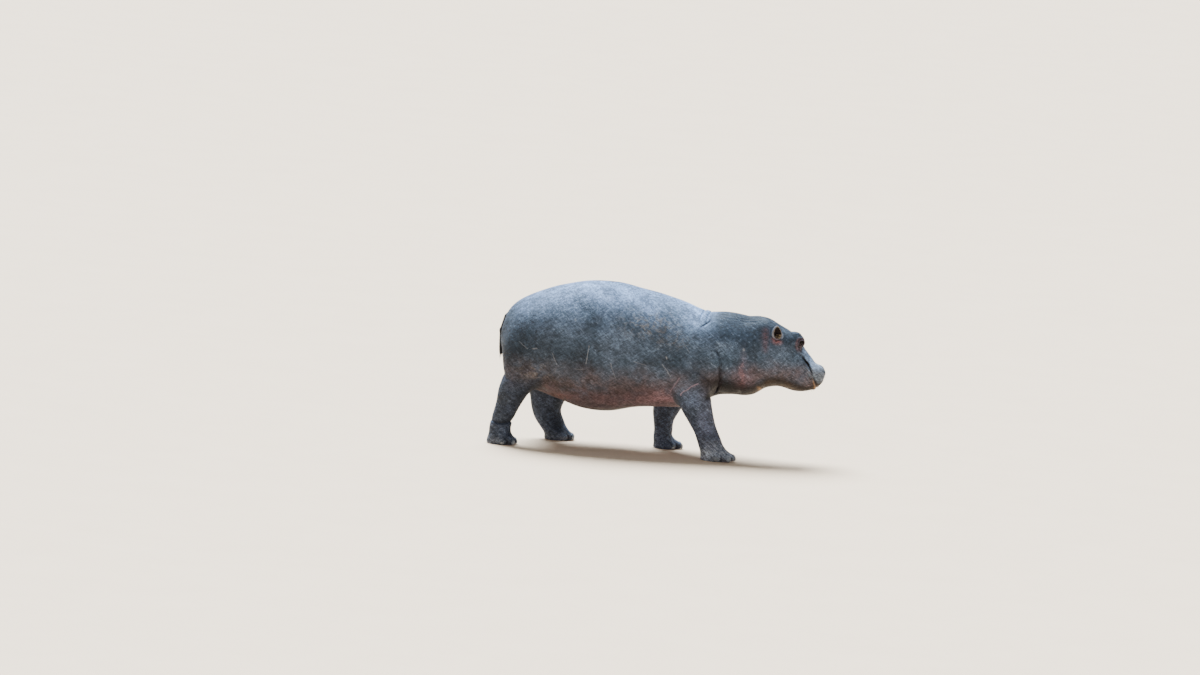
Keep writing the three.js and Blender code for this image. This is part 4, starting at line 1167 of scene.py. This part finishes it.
surface = hide.bump(pebbles, 0.0008, surface, 0.8)
hide.set(Normal=surface)
skin_mesh.materials.clear()
skin_mesh.materials.append(hide.material)
skin = add_piece("skin", skin_mesh)
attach(skin, "root")
flesh = [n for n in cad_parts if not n.startswith(("eye_", "nail_"))]
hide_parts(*flesh)

# ------------------------------------------------------------------ eyes
# Two dark brown balls, set deep between the lids and wet. The front bulges a
# little, with a level oval pupil in a narrow ring of brown.
EYE_RINGS, EYE_SPOKES = 30, 48
IRIS_OPEN, PUPIL_WIDE = 0.45, 1.5       # the angle out to which the rings are level ovals
BULGE, BULGE_REACH = 0.7, 0.55


def ball_angles(rings, spokes):
    """a ball's corners, pole to pole: the angle from the first pole, and round it"""
    for i in range(rings + 1):
        for j in range(1 if i in (0, rings) else spokes):
            yield math.pi * i / rings, 2 * math.pi * j / spokes


def ball_faces(rings, spokes):
    """the faces between those corners, with both poles closed"""
    faces, last = [], 1 + (rings - 1) * spokes
    for j in range(spokes):
        k = (j + 1) % spokes
        faces.append((0, 1 + j, 1 + k))
        for a in range(1, last - spokes, spokes):
            faces.append((a + j, a + spokes + j, a + spokes + k, a + k))
        faces.append((last, last - spokes + k, last - spokes + j))
    return faces


wet_eye = Finish("wet eye")
ring_place = wet_eye.mark("ring")
streaks = wet_eye.noise(900.0, 3.0, 0.6)
eye_colour = wet_eye.mix(wet_eye.ramp(ring_place, 0.30, 0.36), paint(3, 3, 4), paint(20, 12, 9))
eye_colour = wet_eye.mix(wet_eye.ramp(streaks, 0.4, 0.62, 0.0, 0.5), eye_colour, paint(12, 8, 7))
eye_colour = wet_eye.mix(wet_eye.ramp(ring_place, 0.72, 0.86), eye_colour, paint(36, 24, 22))
wet_eye.set(Base_Color=eye_colour, Roughness=0.10, Specular_IOR_Level=0.1,
            Coat_Weight=0.06, Coat_Roughness=0.03)
for word, side in (("right", -1), ("left", 1)):
    across, up, faces_out = (v * (1, side, 1) for v in EYE_AXES)
    verts, rings = [], []
    for polar, spoke in ball_angles(EYE_RINGS, EYE_SPOKES):
        radius = EYE_RADIUS - 0.3 + BULGE * math.exp(-(polar / BULGE_REACH) ** 2)
        d = (across * math.sin(polar) * math.cos(spoke) + up * math.sin(polar) * math.sin(spoke)
             + faces_out * math.cos(polar)) * radius
        verts.append(from_nose(EYE_AT[0] + d[0], side * EYE_AT[1] + d[1], EYE_AT[2] + d[2]))
        wide = math.hypot(math.cos(spoke), PUPIL_WIDE * math.sin(spoke)) if polar < IRIS_OPEN else 1.0
        rings.append(min(1.0, polar * (1 + (wide - 1) * (1 - polar / IRIS_OPEN)) / 1.1))
    eye_mesh = bpy.data.meshes.new("eyeball_" + word)
    eye_mesh.from_pydata([tuple(v) for v in to_frame(verts)], [], ball_faces(EYE_RINGS, EYE_SPOKES))
    store(eye_mesh, "ring", rings)
    if side > 0:
        eye_mesh.flip_normals()
    eye_mesh.shade_smooth()
    eye_mesh.materials.append(wet_eye.material)
    eyeball = add_piece("eyeball_" + word, eye_mesh)
    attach(eyeball, "root")
    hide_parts("eye_" + word)

# ------------------------------------------------------------------ nails
# Each of the four toes ends in a short rounded nail of grey-brown horn with
# faint upright ridges, set in a fold of skin and worn pale at its edge.
NAIL_RINGS, NAIL_SPOKES = 22, 36
horn = Finish("horn")
horn_ridges = horn.noise(260.0, 3.0, 0.55, place=horn.stretched(1.0, 1.0, 0.12))
horn_patch = horn.noise(45.0, 3.0)
horn_colour = horn.mix(horn_ridges, paint(116, 124, 134), paint(152, 158, 164))
horn_colour = horn.mix(horn.ramp(horn_patch, 0.42, 0.62, 0.0, 0.6), horn_colour, paint(84, 80, 80))
horn_colour = horn.mix(horn.ramp(horn.mark("edge"), 0.55, 1.0, 0.0, 0.5), horn_colour, paint(158, 154, 146))
horn.set(Base_Color=horn_colour, Roughness=0.42,
         Normal=horn.bump(horn_ridges, 0.0008, horn.bump(horn_patch, 0.0008)))
for name, (centre, (ahead, aside, up), size) in nails.items():
    verts, edge = [], []
    for polar, spoke in ball_angles(NAIL_RINGS, NAIL_SPOKES):
        high, belt, round_it = math.cos(polar), math.sin(polar) ** 0.9, math.sin(spoke)
        a = NAIL_SIZE[0] * belt * math.cos(spoke) + 2.2 * (1 - high) * 0.5 - 1.0
        b = NAIL_SIZE[1] * belt * math.copysign(abs(round_it) ** 0.85, round_it)
        c = NAIL_SIZE[2] * math.copysign(abs(high) ** 0.85, high)
        a += 0.25 * math.sin(b * 2.2) * belt
        verts.append(centre + size * (a * ahead + b * aside + c * up))
        edge.append((1 - high) / 2)
    nail_mesh = bpy.data.meshes.new("toenail_" + name)
    nail_mesh.from_pydata([tuple(v) for v in to_frame(verts)], [], ball_faces(NAIL_RINGS, NAIL_SPOKES))
    store(nail_mesh, "edge", edge)
    nail_mesh.shade_smooth()
    nail_mesh.materials.append(horn.material)
    nail = add_piece("toenail_" + name, nail_mesh)
    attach(nail, "root")
    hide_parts("nail_" + name)

# ------------------------------------------------------------------ muzzle bristles
# Short stiff bristles stand on the upper lip pads and the rim of the lower
# lip, each a tapering hair bent a little towards the mouth.
MUZZLE_PER_SIDE, MUZZLE_THICK = 90, 0.45
ROOT_DEPTH = 1.2                        # how deep a hair stands in the skin
UNWRAP_LINE, UNWRAP_REAR, UNWRAP_LENGTH = 480, -940, 1880
PATCH_HALF, GOLDEN_ANGLE = 0.0015, 2.399963
chance = np.random.default_rng(11)


def straight(ways):
    """each direction at a length of 1"""
    return ways / np.linalg.norm(ways, axis=1)[:, None]


def uphill(form, points):
    """which way the surface faces"""
    return straight(np.stack([form(points + e) for e in TETRA], -1) @ TETRA)


def on_body(places, side):
    """places in the nose's frame, on one side of the head, as places on the body"""
    return np.stack(from_nose(places[:, 0], side * places[:, 1], places[:, 2]), -1)


HAIR_SIDES, HAIR_RINGS, FULL_TURN = 4, 4, 6.283


def hair_maker():
    """nodes that stand one bent, tapering hair on every root"""
    tree = bpy.data.node_groups.new("hairs", "GeometryNodeTree")
    tree.interface.new_socket("Geometry", in_out="OUTPUT", socket_type="NodeSocketGeometry")
    sockets = {}
    for label, kind in (("Geometry", "Geometry"), ("Thickness", "Float"), ("Sides", "Int"), ("Rings", "Int"),
                        ("Bend", "Float"), ("Seed", "Int"), ("Material", "Material")):
        sockets[label] = tree.interface.new_socket(label, in_out="INPUT", socket_type="NodeSocket" + kind)
    given, result = tree.nodes.new("NodeGroupInput"), tree.nodes.new("NodeGroupOutput")

    def node(kind, **inputs):
        """a node with its inputs given by name, or by number as _0, _1"""
        made = tree.nodes.new(kind)
        for key, source in inputs.items():
            socket = made.inputs[int(key[1:])] if key[0] == "_" else made.inputs[key.replace("_", " ")]
            if hasattr(source, "is_output"):
                tree.links.new(source, socket)
            else:
                socket.default_value = source
        return made

    cone = node("GeometryNodeMeshCone", Vertices=given.outputs["Sides"], Side_Segments=given.outputs["Rings"],
                Radius_Top=0.15, Radius_Bottom=1.0, Depth=1.0)
    split = node("ShaderNodeSeparateXYZ", _0=tree.nodes.new("GeometryNodeInputPosition").outputs[0])
    square = node("ShaderNodeMath", _0=split.outputs[2], _1=split.outputs[2])
    square.operation = "MULTIPLY"
    push = node("ShaderNodeMath", _0=square.outputs[0], _1=given.outputs["Bend"])
    push.operation = "MULTIPLY"
    bent = node("GeometryNodeSetPosition", Geometry=cone.outputs["Mesh"],
                Offset=node("ShaderNodeCombineXYZ", X=push.outputs[0]).outputs[0])
    way = node("GeometryNodeInputNamedAttribute", Name="way")
    way.data_type = "FLOAT_VECTOR"
    long = node("GeometryNodeInputNamedAttribute", Name="long")
    long.data_type = "FLOAT"
    aimed = node("FunctionNodeAlignRotationToVector", Vector=way.outputs[0])
    aimed.axis = "Z"
    spin = node("FunctionNodeRandomValue", _2=0.0, _3=FULL_TURN, Seed=given.outputs["Seed"])
    spin.data_type = "FLOAT"
    about = node("FunctionNodeAxisAngleToRotation", Axis=(0, 0, 1), Angle=spin.outputs[1])
    turned = node("FunctionNodeRotateRotation", Rotation=aimed.outputs[0], Rotate_By=about.outputs[0])
    turned.rotation_space = "LOCAL"
    full_size = node("ShaderNodeCombineXYZ", X=given.outputs["Thickness"], Y=given.outputs["Thickness"],
                     Z=long.outputs[0])
    stood = node("GeometryNodeInstanceOnPoints", Points=given.outputs["Geometry"], Instance=bent.outputs[0],
                 Rotation=turned.outputs[0], Scale=full_size.outputs[0])
    solid = node("GeometryNodeRealizeInstances", Geometry=stood.outputs[0])
    painted = node("GeometryNodeSetMaterial", Geometry=solid.outputs[0], Material=given.outputs["Material"])
    tree.links.new(painted.outputs[0], result.inputs[0])
    return tree, {label: socket.identifier for label, socket in sockets.items()}


hair_nodes, hair_inputs = hair_maker()


def grow(name, roots, ways, lengths, thick, bend, seed, material):
    """a piece of hairs on the skin: roots in millimetres, ways in the body's directions"""
    seeds = bpy.data.meshes.new(name)
    seeds.vertices.add(len(roots))
    seeds.vertices.foreach_set("co", to_frame(roots - ROOT_DEPTH * ways).astype(np.float32).ravel())
    store(seeds, "long", lengths / 1000)
    way = seeds.attributes.new("way", "FLOAT_VECTOR", "POINT")
    way.data.foreach_set("vector", ways.astype(np.float32).ravel())
    maker = add_piece(name + "_roots", seeds)
    grown = maker.modifiers.new("hairs", "NODES")
    grown.node_group = hair_nodes
    inputs = dict(Thickness=thick / 1000, Sides=HAIR_SIDES, Rings=HAIR_RINGS, Bend=bend * 1000 / thick,
                  Seed=seed, Material=material)
    for label, value in inputs.items():
        grown[hair_inputs[label]] = value
    bpy.context.view_layer.update()
    mesh = bpy.data.meshes.new_from_object(maker.evaluated_get(bpy.context.evaluated_depsgraph_get()))
    bpy.data.objects.remove(maker)
    mesh.name = name
    # each hair has its own small patch, at its root's place on the skin laid out flat
    each = len(mesh.vertices) // len(roots)
    around = 0.5 + 0.9 * np.arctan2(roots[:, 1], roots[:, 2] - UNWRAP_LINE) / (2 * math.pi)
    centre = np.stack((around, (roots[:, 0] - UNWRAP_REAR) / UNWRAP_LENGTH), -1)
    corner = np.empty(len(mesh.loops), np.int32)
    mesh.loops.foreach_get("vertex_index", corner)
    hair, place = corner // each, corner % each
    angle = place * GOLDEN_ANGLE
    offset = np.sqrt((place + 0.5) / each)[:, None] * np.stack((np.cos(angle), np.sin(angle)), -1)
    laid_out = mesh.uv_layers.new(name="OFBake")
    laid_out.data.foreach_set("uv", (centre[hair] + PATCH_HALF * offset).astype(np.float32).ravel())
    mesh.shade_smooth()
    piece = add_piece(name, mesh)
    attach(piece, "root")


stiff = Finish("bristle")
stiff.set(Base_Color=stiff.mix(stiff.noise(400.0), paint(34, 28, 26), paint(92, 80, 68)), Roughness=0.4)
UPPER_PADS = ((318, 366), (44, 108), (38, 96))      # along the nose, out from it, up from it
LOWER_RIM = ((300, 372), (60, 110), (-6, 28))
on_pads = MUZZLE_PER_SIDE * 2 // 3
roots, ways = [], []
for side in (-1, 1):
    at = np.concatenate([np.stack([chance.uniform(*ends, count) for ends in zone], -1)
                         for zone, count in ((UPPER_PADS, on_pads), (LOWER_RIM, MUZZLE_PER_SIDE - on_pads))])
    spot = settle(skin_form, on_body(at, side), 5, 60)
    facing = uphill(skin_form, spot)
    ahead = np.array(from_nose(1, 0, -0.4)) - np.array(from_nose(0, 0, 0))
    roots.append(spot)
    ways.append(straight(facing + 0.55 * ahead + chance.normal(0, 0.18, facing.shape)))
roots, ways = np.concatenate(roots), np.concatenate(ways)
lengths = chance.uniform(7, 16, len(roots))
grow("muzzle_bristles", roots, ways, lengths, MUZZLE_THICK, 0.0016, 3, stiff.material)

# ------------------------------------------------------------------ ear fringe
# Fine cream hairs fill the lower half of each ear's hollow and line its rim.
EAR_INNER_HAIRS, EAR_RIM_HAIRS, EAR_THICK = 260, 150, 0.35
fluff = Finish("ear hair")
fluff.set(Base_Color=fluff.mix(fluff.noise(300.0), paint(128, 108, 82), paint(178, 160, 132)), Roughness=0.55)
roots, ways, lengths = [], [], []
for side in (-1, 1):
    b = np.concatenate((chance.normal(3, 7, EAR_INNER_HAIRS), np.zeros(EAR_RIM_HAIRS)))
    a = np.concatenate((chance.normal(11, 6, EAR_INNER_HAIRS), np.zeros(EAR_RIM_HAIRS)))
    turn_at = chance.uniform(-0.4, 2 * math.pi * 0.64, EAR_RIM_HAIRS) - math.pi / 3
    b[EAR_INNER_HAIRS:] = 21 * np.cos(turn_at) * (1 - 0.25 * np.maximum(np.sin(turn_at), 0))
    a[EAR_INNER_HAIRS:] = 38 + 34 * np.sin(turn_at)
    inner = np.arange(len(b)) < EAR_INNER_HAIRS
    c = np.where(inner, 2.0, 12.0)
    local = b[:, None] * ear_across + a[:, None] * ear_up + c[:, None] * ear_faces + np.array(EAR_AT)
    spot = settle(skin_form, on_body(local, side), 6, 16)
    close = np.abs(skin_form(spot)) < 0.6
    inward = np.where(inner, 0.1, -0.5)[:, None] * (b[:, None] * ear_across + (a[:, None] - 36) * ear_up) / 30
    lean = (inward + np.where(inner, 0.7, 0.45)[:, None] * ear_faces + 0.5 * ear_up
            + chance.normal(0, 0.2, (len(b), 3)))
    roots.append(spot[close])
    ways.append(straight(on_body(local + lean, side) - on_body(local, side))[close])
    lengths.append((np.where(inner, 11, 6) * chance.uniform(0.6, 1.2, len(b)))[close])
grow("ear_fringe", np.concatenate(roots), np.concatenate(ways), np.concatenate(lengths), EAR_THICK, 0.0014, 5,
     fluff.material)

# ------------------------------------------------------------------ tail hairs
# Coarse dark bristles in a row down both edges of the flat tail, and a tuft
# at its tip.
TAIL_HAIRS, TAIL_THICK = 170, 0.5
wiry = Finish("tail hair")
wiry.set(Base_Color=wiry.mix(wiry.noise(300.0), paint(16, 14, 14), paint(46, 38, 34)), Roughness=0.45)
height = chance.uniform(462, 545, TAIL_HAIRS)
edge = chance.choice((-1.0, 1.0), TAIL_HAIRS)
spot = np.stack((-884 + chance.normal(0, 2.5, TAIL_HAIRS), 13 * edge * ease(455, 475, height), height), -1)
spot = settle(skin_form, spot, 6, 25)
lean = 0.5 * uphill(skin_form, spot) + np.stack((np.zeros(TAIL_HAIRS), 0.35 * edge, -np.ones(TAIL_HAIRS)), -1)
lean[:, 0] = np.minimum(np.abs(lean[:, 0]), 0.12) * 0.5 + chance.normal(0, 0.05, TAIL_HAIRS)
lean += chance.normal(0, 0.1, lean.shape) * (0.3, 1, 1)
lengths = chance.uniform(16, 34, TAIL_HAIRS) * (1 + 0.5 * ease(490, 465, height))
grow("tail_hairs", spot, straight(lean), lengths, TAIL_THICK, 0.003, 7, wiry.material)

low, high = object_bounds()
{"cad": [list(cad_low), list(cad_high)], "visual": [list(low), list(high)]}
